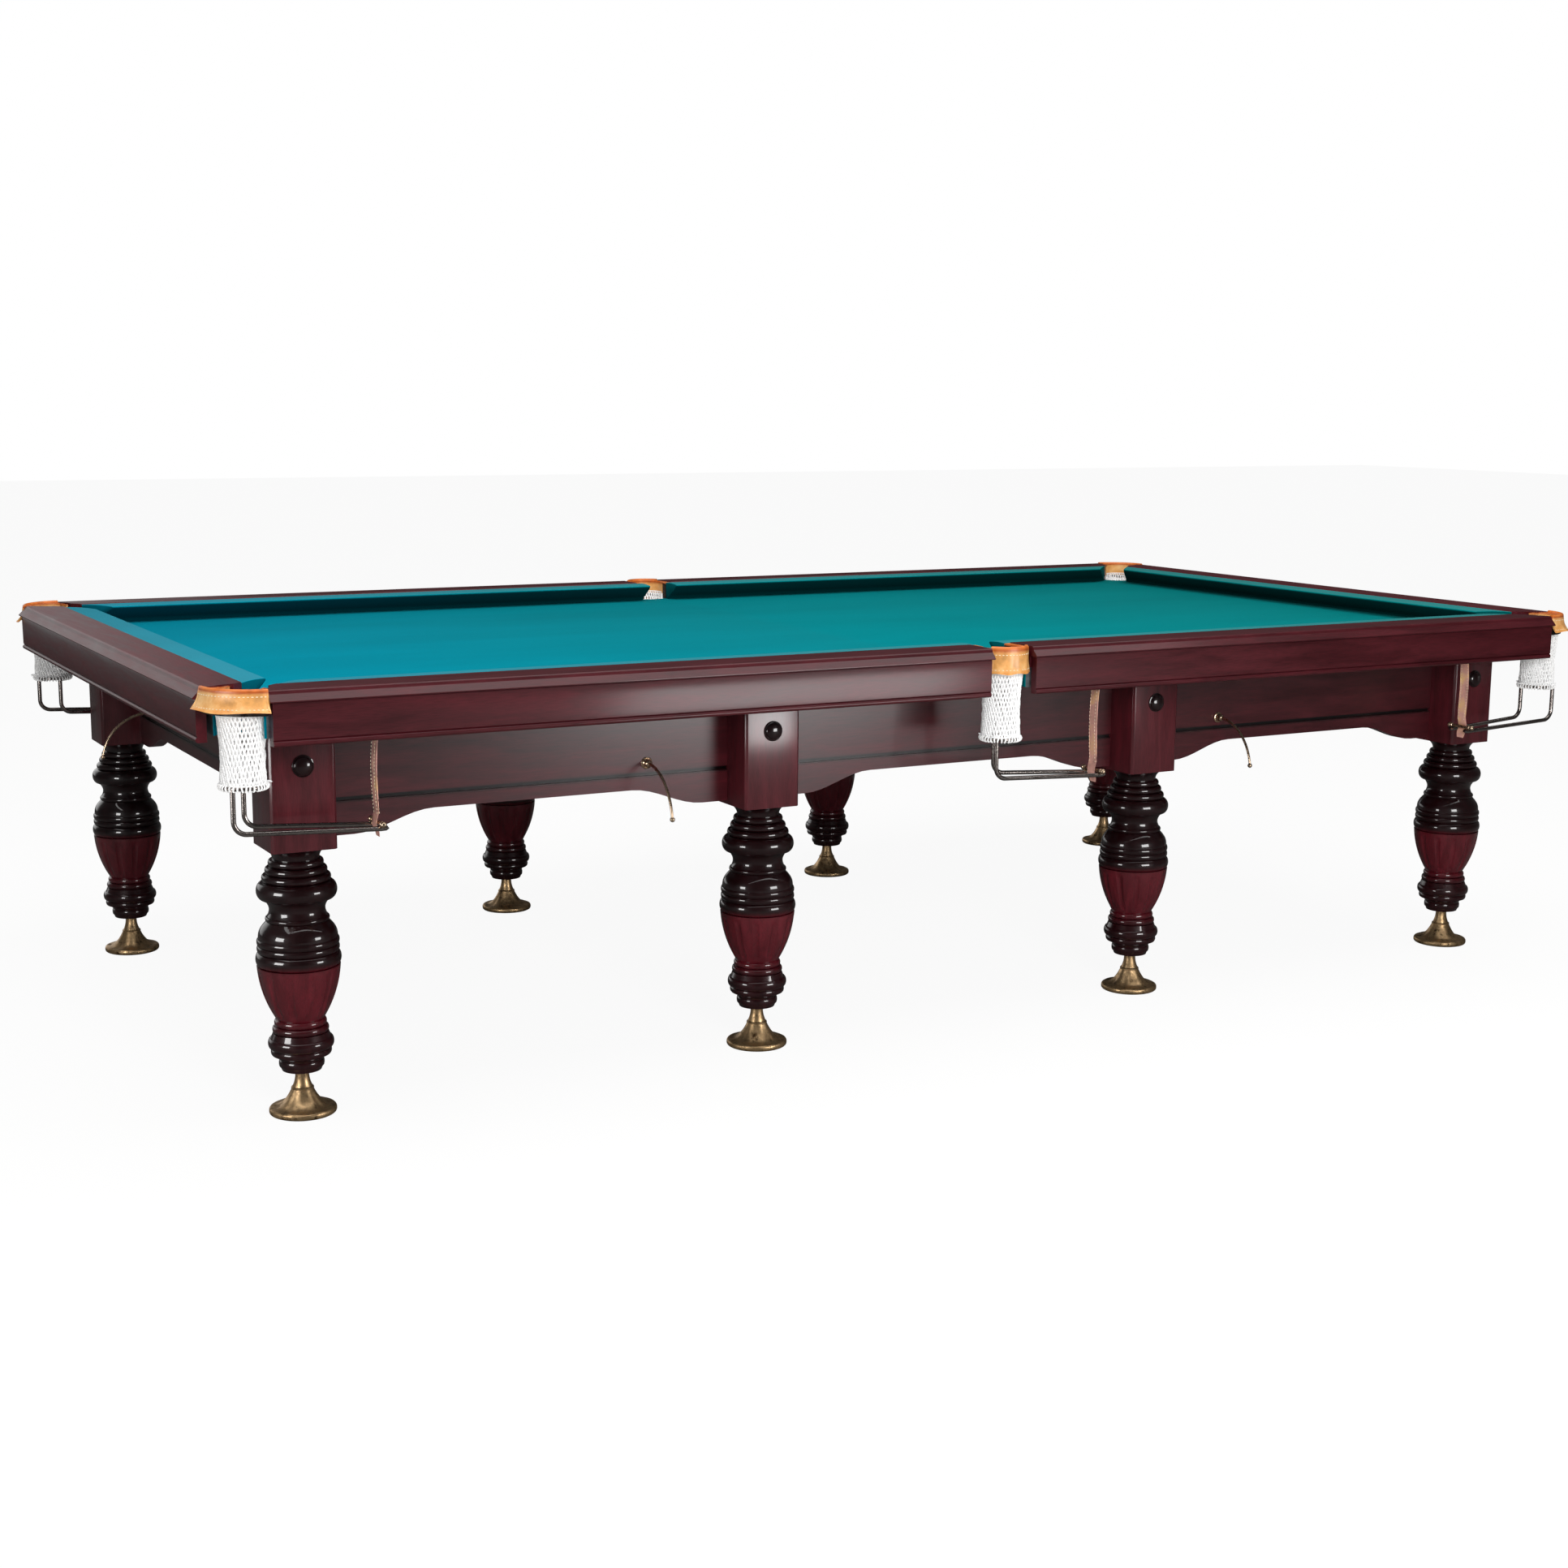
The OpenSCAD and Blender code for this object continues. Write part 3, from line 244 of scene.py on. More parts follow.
def mahogany(name, along, base, gloss=0.4, coat=0.3, coat_rough=0.16, bands=None):
    """Sapele mahogany, turned or planed, stained wine red and sprayed with clear lacquer: faint dark grain
    lines and short pores under the coat, which is rubbed satin on the boards and mirrors the lamps on the
    turnings. bands are stops of tone over a height of one metre, which give an apron painted shade in its
    groove and a leg its darker beads and lighter, redder tulip."""
    material, tree, shader = new_finish(name, Coat_Weight=coat, Coat_Roughness=coat_rough,
                                        Specular_IOR_Level=0.16)
    broad, fine = ([stretch if axis == along else 1.0 for axis in "XYZ"] for stretch in (0.12, 0.045))
    # Growth figure about 24 mm wide
    figure = add_node(tree, "ShaderNodeTexNoise",
                      {"Scale": 42.0, "Detail": 5.0, "Roughness": 0.55, "Distortion": 0.6},
                      {"Vector": object_space(tree, broad)})
    # Pores are 0.2 mm wide on the wood and drawn 1.3 mm wide so that they show
    pores = add_node(tree, "ShaderNodeTexNoise", {"Scale": 760.0, "Detail": 2.0, "Roughness": 0.6},
                     {"Vector": object_space(tree, fine)})
    stops = [(0.25, 0.5), (0.5, 0.8), (0.64, 1.0), (0.85, 1.25)]
    tone = add_node(tree, "ShaderNodeValToRGB", {"stops": [(at, shade(base, f)) for at, f in stops]},
                    {"Fac": figure})
    line = add_node(tree, "ShaderNodeValToRGB", {"stops": [(0.36, grey(0.6)), (0.55, grey(1.0))]},
                    {"Fac": pores})
    wood = add_node(tree, "ShaderNodeMix", {**TIMES, SHARE: 0.7}, {FIRST: tone, SECOND: line}).outputs[MIXED]
    if bands:
        # Tone by height: painted shade in an apron's groove, and darker beads and a redder tulip on a leg
        height = add_node(tree, "ShaderNodeSeparateXYZ", links={"Vector": object_space(tree)}).outputs["Z"]
        height_tone_and_shade = add_node(tree, "ShaderNodeValToRGB", {"stops": bands}, {"Fac": height})
        wood = add_node(tree, "ShaderNodeMix", TIMES, {FIRST: wood, SECOND: height_tone_and_shade}).outputs[MIXED]
    worn = add_node(tree, "ShaderNodeMapRange", {LOW: 0.3, HIGH: 0.7, TO_LOW: gloss, TO_HIGH: gloss + 0.14},
                    {VALUE: figure})
    dent = add_node(tree, "ShaderNodeBump", {"Strength": 0.12, "Distance": 0.0002}, {"Height": pores})
    link_into(tree, shader, {"Base Color": wood, "Roughness": worn, "Normal": dent})
    return material


def grained(name, base, stretch, scale, detail, distortion, tones, roughs, depth, level):
    """Sawn timber or stone without a coat: one grain that sets the tone, the roughness and the relief."""
    material, tree, shader = new_finish(name, Specular_IOR_Level=level)
    grain = add_node(tree, "ShaderNodeTexNoise", {"Scale": scale, "Detail": detail, "Distortion": distortion},
                     {"Vector": object_space(tree, stretch)})
    tone = add_node(tree, "ShaderNodeValToRGB",
                    {"stops": [(0.35, shade(base, tones[0])), (0.65, shade(base, tones[1]))]}, {"Fac": grain})
    rough = add_node(tree, "ShaderNodeMapRange", {LOW: 0.3, HIGH: 0.7, TO_LOW: roughs[0], TO_HIGH: roughs[1]},
                     {VALUE: grain})
    dent = add_node(tree, "ShaderNodeBump", {"Strength": 0.3, "Distance": depth}, {"Height": grain})
    link_into(tree, shader, {"Base Color": tone, "Roughness": rough, "Normal": dent})
    return material


def beam_wood(name, base):
    """Spruce frame timber, planed and stained dark without lacquer: straight grain 7 mm wide, dull surface."""
    return grained(name, base, (0.06, 1.0, 1.0), 150.0, 4.0, 0.3, (0.35, 0.8), (0.5, 0.72), 0.0004, 0.3)


def sawn_slate(name, base):
    """Natural slate, sawn and ground: blue-grey with faint cleavage lines 11 mm apart and a dull face."""
    return grained(name, base, (0.15, 0.15, 1.0), 90.0, 6.0, 0.0, (0.7, 1.2), (0.55, 0.75), 0.0005, 0.35)


def billiard_cloth(name, base, on_cushion=False):
    """Worsted wool cloth, woven, milled and sheared to a short nap: a matt colour with a soft sheen, faint
    brushing along the table and a fine thread, painted lighter and bluer towards the left end as painted
    light.
    On a cushion the top is painted pale as a painted sheen and the undercut is painted dark as painted shade."""
    material, tree, shader = new_finish(name, Roughness=0.95, Specular_IOR_Level=0.01, Sheen_Weight=0.01,
                                        Sheen_Roughness=0.5, Sheen_Tint=opaque(hex_colour("#8fd2d6")))
    space = object_space(tree)
    # Threads lie 0.5 mm apart and are drawn 3.2 mm apart so that they show
    threads = {"wave_type": "BANDS", "Scale": 98.0, "Distortion": 1.2, "Detail": 1.0}
    warp, weft = (add_node(tree, "ShaderNodeTexWave", {**threads, "bands_direction": axis}, {"Vector": space})
                  for axis in "XY")
    # The nap is 0.3 mm long and drawn 2 mm wide so that it shows
    nap = add_node(tree, "ShaderNodeTexNoise", {"Scale": 520.0, "Detail": 3.0, "Roughness": 0.7},
                   {"Vector": space})
    # Brushed streaks are some 180 mm wide and run along the table
    brushed = add_node(tree, "ShaderNodeTexNoise", {"Scale": 5.5, "Detail": 3.0},
                       {"Vector": object_space(tree, (0.3, 1.0, 1.0))})
    # Painted light and shade: the cloth is painted lighter and bluer towards the left end, where the lamps
    # fall off, and darker and greener towards the right
    run = add_node(tree, "ShaderNodeSeparateXYZ", links={"Vector": space}).outputs["X"]
    side = add_node(tree, "ShaderNodeMapRange", {LOW: -1.6, HIGH: 1.6, TO_LOW: 0.0, TO_HIGH: 1.0},
                    {VALUE: run})
    tint = add_node(tree, "ShaderNodeValToRGB", {"stops": [
        (0.0, hex_colour("#0086a2")), (0.35, hex_colour("#007c88")), (0.55, hex_colour("#007c80")),
        (1.0, hex_colour("#007670"))]}, {"Fac": side})
    tone = add_node(tree, "ShaderNodeMix", {"data_type": "RGBA", SHARE: 0.62, FIRST: opaque(base)},
                    {SECOND: tint}).outputs[MIXED]
    for pattern, dark in ((brushed, 0.9), (nap, 0.82)):
        mask = add_node(tree, "ShaderNodeValToRGB", {"stops": [(0.3, grey(dark)), (0.7, grey(1.0))]},
                        {"Fac": pattern})
        tone = add_node(tree, "ShaderNodeMix", TIMES, {FIRST: tone, SECOND: mask}).outputs[MIXED]
    if on_cushion:
        # Painted sheen and shade: on a cushion the faces that look up are painted paler and the undercut is
        # painted darker
        normal = add_node(tree, "ShaderNodeNewGeometry").outputs["Normal"]
        up = add_node(tree, "ShaderNodeSeparateXYZ", links={"Vector": normal}).outputs["Z"]
        painted_sheen_share = add_node(tree, "ShaderNodeMapRange", {LOW: 0.75, HIGH: 0.97, TO_LOW: 0.0, TO_HIGH: 0.15},
                       {VALUE: up})
        pale = add_node(tree, "ShaderNodeMix", {"data_type": "RGBA", SECOND: opaque(hex_colour("#6c8482"))},
                        {SHARE: painted_sheen_share, FIRST: tone}).outputs[MIXED]
        under = add_node(tree, "ShaderNodeMapRange", {LOW: -0.1, HIGH: 0.5, TO_LOW: 0.28, TO_HIGH: 1.0},
                         {VALUE: up})
        tone = add_node(tree, "ShaderNodeMix", TIMES, {FIRST: pale, SECOND: under}).outputs[MIXED]
    thread = add_node(tree, "ShaderNodeMath", {"operation": "ADD"},
                      {0: warp.outputs["Fac"], 1: weft.outputs["Fac"]})
    relief = add_node(tree, "ShaderNodeMath", {"operation": "ADD"}, {0: thread, 1: nap})
    dent = add_node(tree, "ShaderNodeBump", {"Strength": 0.25, "Distance": 0.0002}, {"Height": relief})
    link_into(tree, shader, {"Base Color": tone, "Normal": dent})
    return material


def pocket_leather(name, base, low, high):
    """Vegetable-tanned bridle leather, stretched wet over the pocket iron and waxed: pebbled grain, cloudy
    amber that is darker and redder over its rolled rim and pale at its cut foot. low and high are the heights
    of foot and rim."""
    material, tree, shader = new_finish(name, Specular_IOR_Level=0.4, Coat_Weight=0.12, Coat_Roughness=0.25)
    space = object_space(tree)
    # Clouds of wax some 38 mm wide
    cloud = add_node(tree, "ShaderNodeTexNoise", {"Scale": 26.0, "Detail": 4.0, "Roughness": 0.6},
                     {"Vector": space})
    # Grain pebbles are 0.8 mm across and drawn 1.8 mm so that they show
    pebble = add_node(tree, "ShaderNodeTexVoronoi", {"feature": "DISTANCE_TO_EDGE", "Scale": 560.0},
                      {"Vector": space})
    tone = add_node(tree, "ShaderNodeValToRGB", {"stops": [
        (0.3, shade(base, 0.62)), (0.48, shade(base, 0.95)), (0.7, hex_colour("#ecc083"))]}, {"Fac": cloud})
    height = add_node(tree, "ShaderNodeSeparateXYZ", links={"Vector": space}).outputs["Z"]
    level = add_node(tree, "ShaderNodeMapRange", {LOW: low, HIGH: high, TO_LOW: 0.0, TO_HIGH: 1.0},
                     {VALUE: height})
    edge = add_node(tree, "ShaderNodeValToRGB", {"stops": [
        (0.0, hex_colour("#fff2da")), (0.05, hex_colour("#fbe6c4")), (0.12, grey(1.0)), (0.74, grey(1.0)),
        (0.86, hex_colour("#c9855f")), (0.93, hex_colour("#e8ab78"))]}, {"Fac": level})
    hide = add_node(tree, "ShaderNodeMix", TIMES, {FIRST: tone, SECOND: edge}).outputs[MIXED]
    rough = add_node(tree, "ShaderNodeMapRange", {LOW: 0.3, HIGH: 0.7, TO_LOW: 0.34, TO_HIGH: 0.52},
                     {VALUE: cloud})
    dent = add_node(tree, "ShaderNodeBump", {"Strength": 0.35, "Distance": 0.0003}, {"Height": pebble})
    link_into(tree, shader, {"Base Color": hide, "Roughness": rough, "Normal": dent})
    return material


def twisted_cotton(name, base):
    """Bleached cotton cord, three strands twisted together: matt white with soft shade between the strands."""
    material, tree, shader = new_finish(name, Roughness=0.9, Specular_IOR_Level=0.15, Sheen_Weight=0.3)
    # Shade between the strands comes every 3.5 mm
    strands = {"wave_type": "BANDS", "bands_direction": "DIAGONAL", "Scale": 105.0, "Distortion": 2.0}
    twist = add_node(tree, "ShaderNodeTexWave", strands, {"Vector": object_space(tree)}).outputs["Fac"]
    tone = add_node(tree, "ShaderNodeValToRGB", {"stops": [(0.0, shade(base, 0.9)), (0.6, base[:3])]},
                    {"Fac": twist})
    dent = add_node(tree, "ShaderNodeBump", {"Strength": 0.4, "Distance": 0.0004}, {"Height": twist})
    link_into(tree, shader, {"Base Color": tone, "Normal": dent})
    return material


def cast_metal(name, base, dark, rough, cast, patina=0.5, grit=210.0):
    """Metal that keeps its cast or drawn skin: bright where hands and floor rub it and dark with patina
    between. cast is the strength of the skin's relief, whose grit is 5 to 8 mm coarse."""
    material, tree, shader = new_finish(name, Metallic=1.0)
    space = object_space(tree)
    bloom = add_node(tree, "ShaderNodeTexNoise", {"Scale": 58.0, "Detail": 6.0, "Roughness": 0.68},
                     {"Vector": space})
    skin = add_node(tree, "ShaderNodeTexNoise", {"Scale": grit, "Detail": 3.0}, {"Vector": space})
    tone = add_node(tree, "ShaderNodeValToRGB", {"stops": [
        (patina - 0.16, dark), (patina - 0.02, shade(base, 0.8)), (patina + 0.18, shade(base, 1.35))]},
        {"Fac": bloom})
    worn = add_node(tree, "ShaderNodeMapRange", {LOW: 0.35, HIGH: 0.65, TO_LOW: rough + 0.18, TO_HIGH: rough},
                    {VALUE: bloom})
    dent = add_node(tree, "ShaderNodeBump", {"Strength": cast, "Distance": 0.0006}, {"Height": skin})
    link_into(tree, shader, {"Base Color": tone, "Roughness": worn, "Normal": dent})
    return material


def matt_floor(name, base):
    """Matt pale floor. The camera sees it nearly as white as the backdrop, though it still takes the shadow,
    and the lacquer mirrors it dimmer."""
    material, tree, shader = new_finish(name, Roughness=0.9, Specular_IOR_Level=0.1, Base_Color=opaque(base))
    rays = add_node(tree, "ShaderNodeLightPath").outputs
    white = add_node(tree, "ShaderNodeEmission", {"Color": (1, 1, 1, 1), "Strength": 1.0})
    black = add_node(tree, "ShaderNodeEmission", {"Strength": 0.0})
    look = shader
    for ray, share, glow in (("Is Camera Ray", 0.93, white), ("Is Glossy Ray", 0.86, black)):
        part = add_node(tree, "ShaderNodeMath", {"operation": "MULTIPLY", 1: share}, {0: rays[ray]})
        look = add_node(tree, "ShaderNodeMixShader", links={0: part, 1: look, 2: glow})
    link_into(tree, tree.nodes["Material Output"], {"Surface": look})
    return material


def leg_tone_by_height():
    """Tone on a turned leg over its height: darker beads, and a lighter, redder tulip."""
    low, high = LEVELS["tulip"] / 1000, LEVELS["shoulder"] / 1000
    return [(low - 0.03, grey(0.26)), (low, (1.15, 0.68, 0.85)), (high - 0.004, (1.3, 0.74, 0.95)),
            (high + 0.012, grey(0.14))]


def painted_groove_shade(s):
    """Painted shade on an apron over its height: nearly black in its groove, where shade falls."""
    middle = slate_foot(s) - GROOVE_DROP
    return [(middle - 0.007, grey(1.0)), (middle - 0.005, grey(0.01)), (middle + 0.004, grey(0.01)),
            (middle + 0.006, grey(1.0))]


def finish_table():
    """Function, name and settings of each finish."""
    c, s = bpy.context.scene.billiard_finishes, bpy.context.scene.billiard_sizes
    rim = s.bed_h + s.rail_h + 0.003
    # Painted shade: the aprons are painted nearly black along their groove
    groove = painted_groove_shade(s)
    return {
        "mahogany_x": (mahogany, "lacquered_mahogany_along", "X", c.mahogany),
        # Painted light: the boards across the ends are painted lighter than those along the sides, for the
        # light that falls on the left end
        "mahogany_y": (mahogany, "lacquered_mahogany_across", "Y", shade(c.mahogany, 1.35)),
        "apron_x": (mahogany, "satin_mahogany_along", "X", c.mahogany, 0.42, 0.8, 0.28, groove),
        "apron_y": (mahogany, "satin_mahogany_across", "Y", c.mahogany, 0.42, 0.6, 0.28, groove),
        "mahogany_block": (mahogany, "satin_mahogany_upright", "Z", shade(c.mahogany, 1.35), 0.38, 0.8, 0.2),
        "mahogany_z": (mahogany, "polished_mahogany_upright", "Z", shade(c.mahogany, 1.25), 0.3, 1.0, 0.05,
                       leg_tone_by_height()),
        "beam": (beam_wood, "stained_spruce", c.mahogany),
        "cloth": (billiard_cloth, "worsted_billiard_cloth", c.cloth),
        "cushion_cloth": (billiard_cloth, "worsted_cushion_cloth", c.cloth, True),
        "corner_leather": (pocket_leather, "waxed_bridle_leather_corner", c.leather, rim - 0.043, rim),
        "middle_leather": (pocket_leather, "waxed_bridle_leather_middle", c.leather, rim - 0.06, rim),
        "strap": (pocket_leather, "strap_bridle_leather", hex_colour("#dda598"), 0.4, 1.2),
        "thread": (twisted_cotton, "waxed_linen_thread", hex_colour("#f2e3c4")),
        "net": (twisted_cotton, "twisted_cotton_cord", c.cotton),
        "foot_brass": (cast_metal, "cast_antique_brass", c.brass, hex_colour("#3f2a18"), 0.36, 0.55, 0.47,
                       120.0),
        "brass": (cast_metal, "polished_brass", hex_colour("#bfa68c"), hex_colour("#7d6450"), 0.2, 0.08, 0.36),
        "runner": (cast_metal, "nickel_plated_steel", hex_colour("#8f8783"), hex_colour("#4a4340"), 0.12, 0.05,
                   0.36),
        "bolt": (cast_metal, "zinc_plated_steel", hex_colour("#a6a8a8"), hex_colour("#6a6c6c"), 0.3, 0.1,
                 0.36),
        "iron": (cast_metal, "black_cast_iron", hex_colour("#3b3836"), hex_colour("#161514"), 0.5, 0.5),
        "slate": (sawn_slate, "sawn_slate", c.slate),
        "floor": (matt_floor, "matt_floor", bpy.context.scene.billiard_stage.floor),
    }


FINISHES = {}


def finish(key):
    """The material of that name, made at its first use."""
    if key not in FINISHES:
        maker, *settings = finish_table()[key]
        FINISHES[key] = maker(*settings)
    return FINISHES[key]


# Heights and places that pieces share

def slate_foot(s):
    """Height of the underside of the slates."""
    return s.bed_h - CLOTH_T - s.slate_t


def leather_top(s):
    """Height of the flat of a pocket leather."""
    return s.bed_h + s.rail_h - LEATHER_DROP


def pocket_centre(s, sx, sy):
    """Centre of a pocket in plan, a middle one where sx is 0."""
    if sx:
        return sx * (s.field_l / 2 + s.corner_set), sy * (s.field_w / 2 + s.corner_set)
    return 0.0, sy * (s.field_w / 2 + s.middle_set)


def ring_height(s, n, sx):
    """Height of the middle of the ring at the foot of a net."""
    return leather_top(s) - NET_DROP - (n.corner_h if sx else n.middle_h) - n.wire_r - SEAT


def leg_spots(legs):
    """Name, number from the left and place of each leg."""
    return [("%s_%d" % (row, i + 1), i, Vector((legs.end_x * (i * 2 - 3) / 3, sy * legs.side_y, 0)))
            for i in range(4) for row, sy in (("front", -1), ("back", 1))]


# Mesh helpers

def around(r, a, z=0.0):
    """The point at radius r and angle a, in radians, round the upright axis."""
    return Vector((r * math.cos(a), r * math.sin(a), z))


def in_metres(points):
    """Points of a profile that was written in millimetres."""
    return [(x / 1000, z / 1000) for x, z in points]


def arc(x, z, r, start, end, count):
    """Points on an arc round (x, z) between two angles in degrees."""
    turns = [math.radians(start + (end - start) * i / count) for i in range(count + 1)]
    return [(x + r * math.cos(a), z + r * math.sin(a)) for a in turns]


def bead(r, bulge, top, foot, count=10):
    """Points of a half round that stands out from radius r, from its top down to its foot."""
    return [(r + bulge * math.sin(math.pi * i / count),
             (top + foot) / 2 + (top - foot) / 2 * math.cos(math.pi * i / count)) for i in range(count + 1)]


def sweep(r_top, r_foot, top, foot, bulge, count=10):
    """Points of a smooth run from one radius to another, bowed out or in by bulge."""
    return [(r_top + (r_foot - r_top) * i / count + bulge * math.sin(math.pi * i / count),
             top + (foot - top) * i / count) for i in range(count + 1)]


def of_kind(geom, kind):
    """The elements of one kind among an operator's results."""
    return [g for g in geom if isinstance(g, kind)]


def line_of(bm, points):
    """Vertices joined in a row by edges."""
    verts = [bm.verts.new(p) for p in points]
    return verts, [bm.edges.new(pair) for pair in zip(verts, verts[1:])]


def ring_of(bm, points):
    """Edges of a closed ring through those points."""
    verts, edges = line_of(bm, points)
    return edges + [bm.edges.new((verts[-1], verts[0]))]


def spin_profile(bm, profile, steps, start=0.0, sweep_deg=360.0, centre=(0.0, 0.0, 0.0)):
    """Spins points of (radius, height) in metres round an upright axis at centre."""
    c = Vector(centre)
    verts, edges = line_of(bm, [c + around(r, math.radians(start), z) for r, z in profile])
    bmesh.ops.spin(bm, geom=verts + edges, cent=c, axis=(0, 0, 1), dvec=(0, 0, 0), steps=steps,
                   angle=math.radians(sweep_deg), use_merge=sweep_deg >= 360.0, use_normal_flip=False,
                   use_duplicate=False)


def closed(bm):
    """Merges doubles and points the faces outwards."""
    bmesh.ops.remove_doubles(bm, verts=bm.verts[:], dist=1e-6)
    bmesh.ops.recalc_face_normals(bm, faces=bm.faces[:])


def turned(profile, steps):
    """A closed solid turned from a profile of (radius, height) in metres."""
    bm = bmesh.new()
    spin_profile(bm, profile, steps)
    closed(bm)
    return bm


def part_turned(profile, steps, start, sweep_deg, centre):
    """A part turn of a closed profile, with both its ends filled."""
    bm = bmesh.new()
    spin_profile(bm, profile, steps, start, sweep_deg, centre)
    bmesh.ops.remove_doubles(bm, verts=bm.verts[:], dist=1e-6)
    bmesh.ops.holes_fill(bm, edges=[e for e in bm.edges if e.is_boundary], sides=0)
    bmesh.ops.recalc_face_normals(bm, faces=bm.faces[:])
    return bm


def bar_of(bm, profile, axis, start, end):
    """Extrudes a closed profile of (distance outwards, height) along X or Y between two places."""
    def spot(run, u, z):
        return Vector((run, u, z) if axis == "X" else (u, run, z))

    face = bmesh.ops.edgenet_fill(bm, edges=ring_of(bm, [spot(start, u, z) for u, z in profile]))["faces"]
    made = bmesh.ops.extrude_face_region(bm, geom=face)["geom"]
    bmesh.ops.translate(bm, vec=spot(end - start, 0, 0), verts=of_kind(made, bmesh.types.BMVert))


def cut_off(bm, point, normal):
    """Cuts away what lies on the normal's side of a plane and closes the cut."""
    geom = bm.verts[:] + bm.edges[:] + bm.faces[:]
    made = bmesh.ops.bisect_plane(bm, geom=geom, dist=1e-7, plane_co=point, plane_no=normal, clear_outer=True)
    bmesh.ops.edgenet_fill(bm, edges=of_kind(made["geom_cut"], bmesh.types.BMEdge))


def soften(bm, edges, width, segments=3):
    """Rounds edges over that width."""
    bmesh.ops.bevel(bm, geom=edges, offset=width, offset_type="OFFSET", affect="EDGES", segments=segments,
                    profile=0.5, material=-1)


def sharp_edges(bm, degrees):
    """Edges whose faces meet at more than that many degrees."""
    return [e for e in bm.edges if len(e.link_faces) == 2 and math.degrees(e.calc_face_angle(0.0)) > degrees]


def quarter_matrix(sx, sy):
    """Mirrors a piece made in the back right quarter into another quarter."""
    return Matrix.Diagonal((sx, sy, 1.0, 1.0))


def to_mesh(bm, name, smooth=40.0):
    """Turns a bmesh into a mesh with smooth faces, sharp where they meet at more than that many degrees."""
    mesh = bpy.data.meshes.new(name)
    bm.to_mesh(mesh)
    bm.free()
    mesh.shade_smooth()
    mesh.set_sharp_from_angle(angle=math.radians(smooth))
    return mesh


def place(mesh, name, material, slot, stands_for=(), body=TABLE):
    """Puts a finished mesh into the scene on its body, in place of the frame's nodes."""
    piece = bpy.data.objects.new(name, mesh)
    bpy.context.scene.collection.objects.link(piece)
    for m in material if isinstance(material, list) else [material]:
        mesh.materials.append(m)
    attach(piece, body)
    if stands_for:
        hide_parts(*stands_for)
    return piece


def turn_outwards(bm, matrix):
    """Moves a shape, and turns its faces outwards again where the move mirrors it."""
    bmesh.ops.transform(bm, matrix=matrix, verts=bm.verts[:])
    if matrix.determinant() < 0:
        bmesh.ops.reverse_faces(bm, faces=bm.faces[:])


def mirrored(mesh, matrix, name):
    """A copy of a mesh in another place."""
    bm = bmesh.new()
    bm.from_mesh(mesh)
    turn_outwards(bm, matrix)
    other = bpy.data.meshes.new(name)
    bm.to_mesh(other)
    bm.free()
    return other


def absorb(bm, lone, matrix=None):
    """Adds one shape to another, moved by matrix, and frees it."""
    if matrix is not None:
        turn_outwards(lone, matrix)
    mesh = bpy.data.meshes.new("lone")
    lone.to_mesh(mesh)
    lone.free()
    bm.from_mesh(mesh)
    bpy.data.meshes.remove(mesh)


def pebbles(name, places):
    """A mesh of many small twenty-sided beads, one for each matrix, built in groups of fifty for speed."""
    bm = bmesh.new()
    mesh = bpy.data.meshes.new(name)
    for start in range(0, len(places), 50):
        group = bmesh.new()
        for matrix in places[start:start + 50]:
            bmesh.ops.create_icosphere(group, subdivisions=1, radius=1.0, matrix=matrix)
        group.to_mesh(mesh)
        group.free()
        bm.from_mesh(mesh)
    bmesh.ops.recalc_face_normals(bm, faces=bm.faces[:])
    bm.to_mesh(mesh)
    bm.free()
    return mesh


def tubes(routes, sides):
    """Round bars along routes of (points, radius or radii, closed), swept by a bevelled curve."""
    data = bpy.data.curves.new("route", "CURVE")
    data.dimensions = "3D"
    data.bevel_depth = 1.0
    data.bevel_resolution = max(0, sides // 2 - 2)
    data.use_fill_caps = True
    for points, radius, loop in routes:
        spline = data.splines.new("POLY")
        spline.points.add(len(points) - 1)
        for i, p in enumerate(points):
            spline.points[i].co = (*p, 1.0)
            spline.points[i].radius = radius[i] if isinstance(radius, list) else radius
        spline.use_cyclic_u = loop
    holder = bpy.data.objects.new("route", data)
    bpy.context.scene.collection.objects.link(holder)
    bpy.context.view_layer.update()
    mesh = bpy.data.meshes.new_from_object(holder.evaluated_get(bpy.context.evaluated_depsgraph_get()))
    bpy.data.objects.remove(holder)
    bpy.data.curves.remove(data)
    bm = bmesh.new()
    bm.from_mesh(mesh)
    bpy.data.meshes.remove(mesh)
    closed(bm)
    return bm


# Legs and feet

# Numbers of half beads on the crown, under the bell and at the waist of a leg
CROWN, BELL, WAIST = 3, 2, 2
# Heights above the floor, in millimetres, of the seams between the turned forms of a leg
LEVELS = {"base": 90, "toe": 112, "sub": 122, "bulb": 136, "waist": 168, "tulip": 196, "shoulder": 306,
          "reeds": 334, "bell": 362, "fillet": 396, "neck": 406, "ring": 440, "crown": 476, "collar": 521,
          "block": 545}


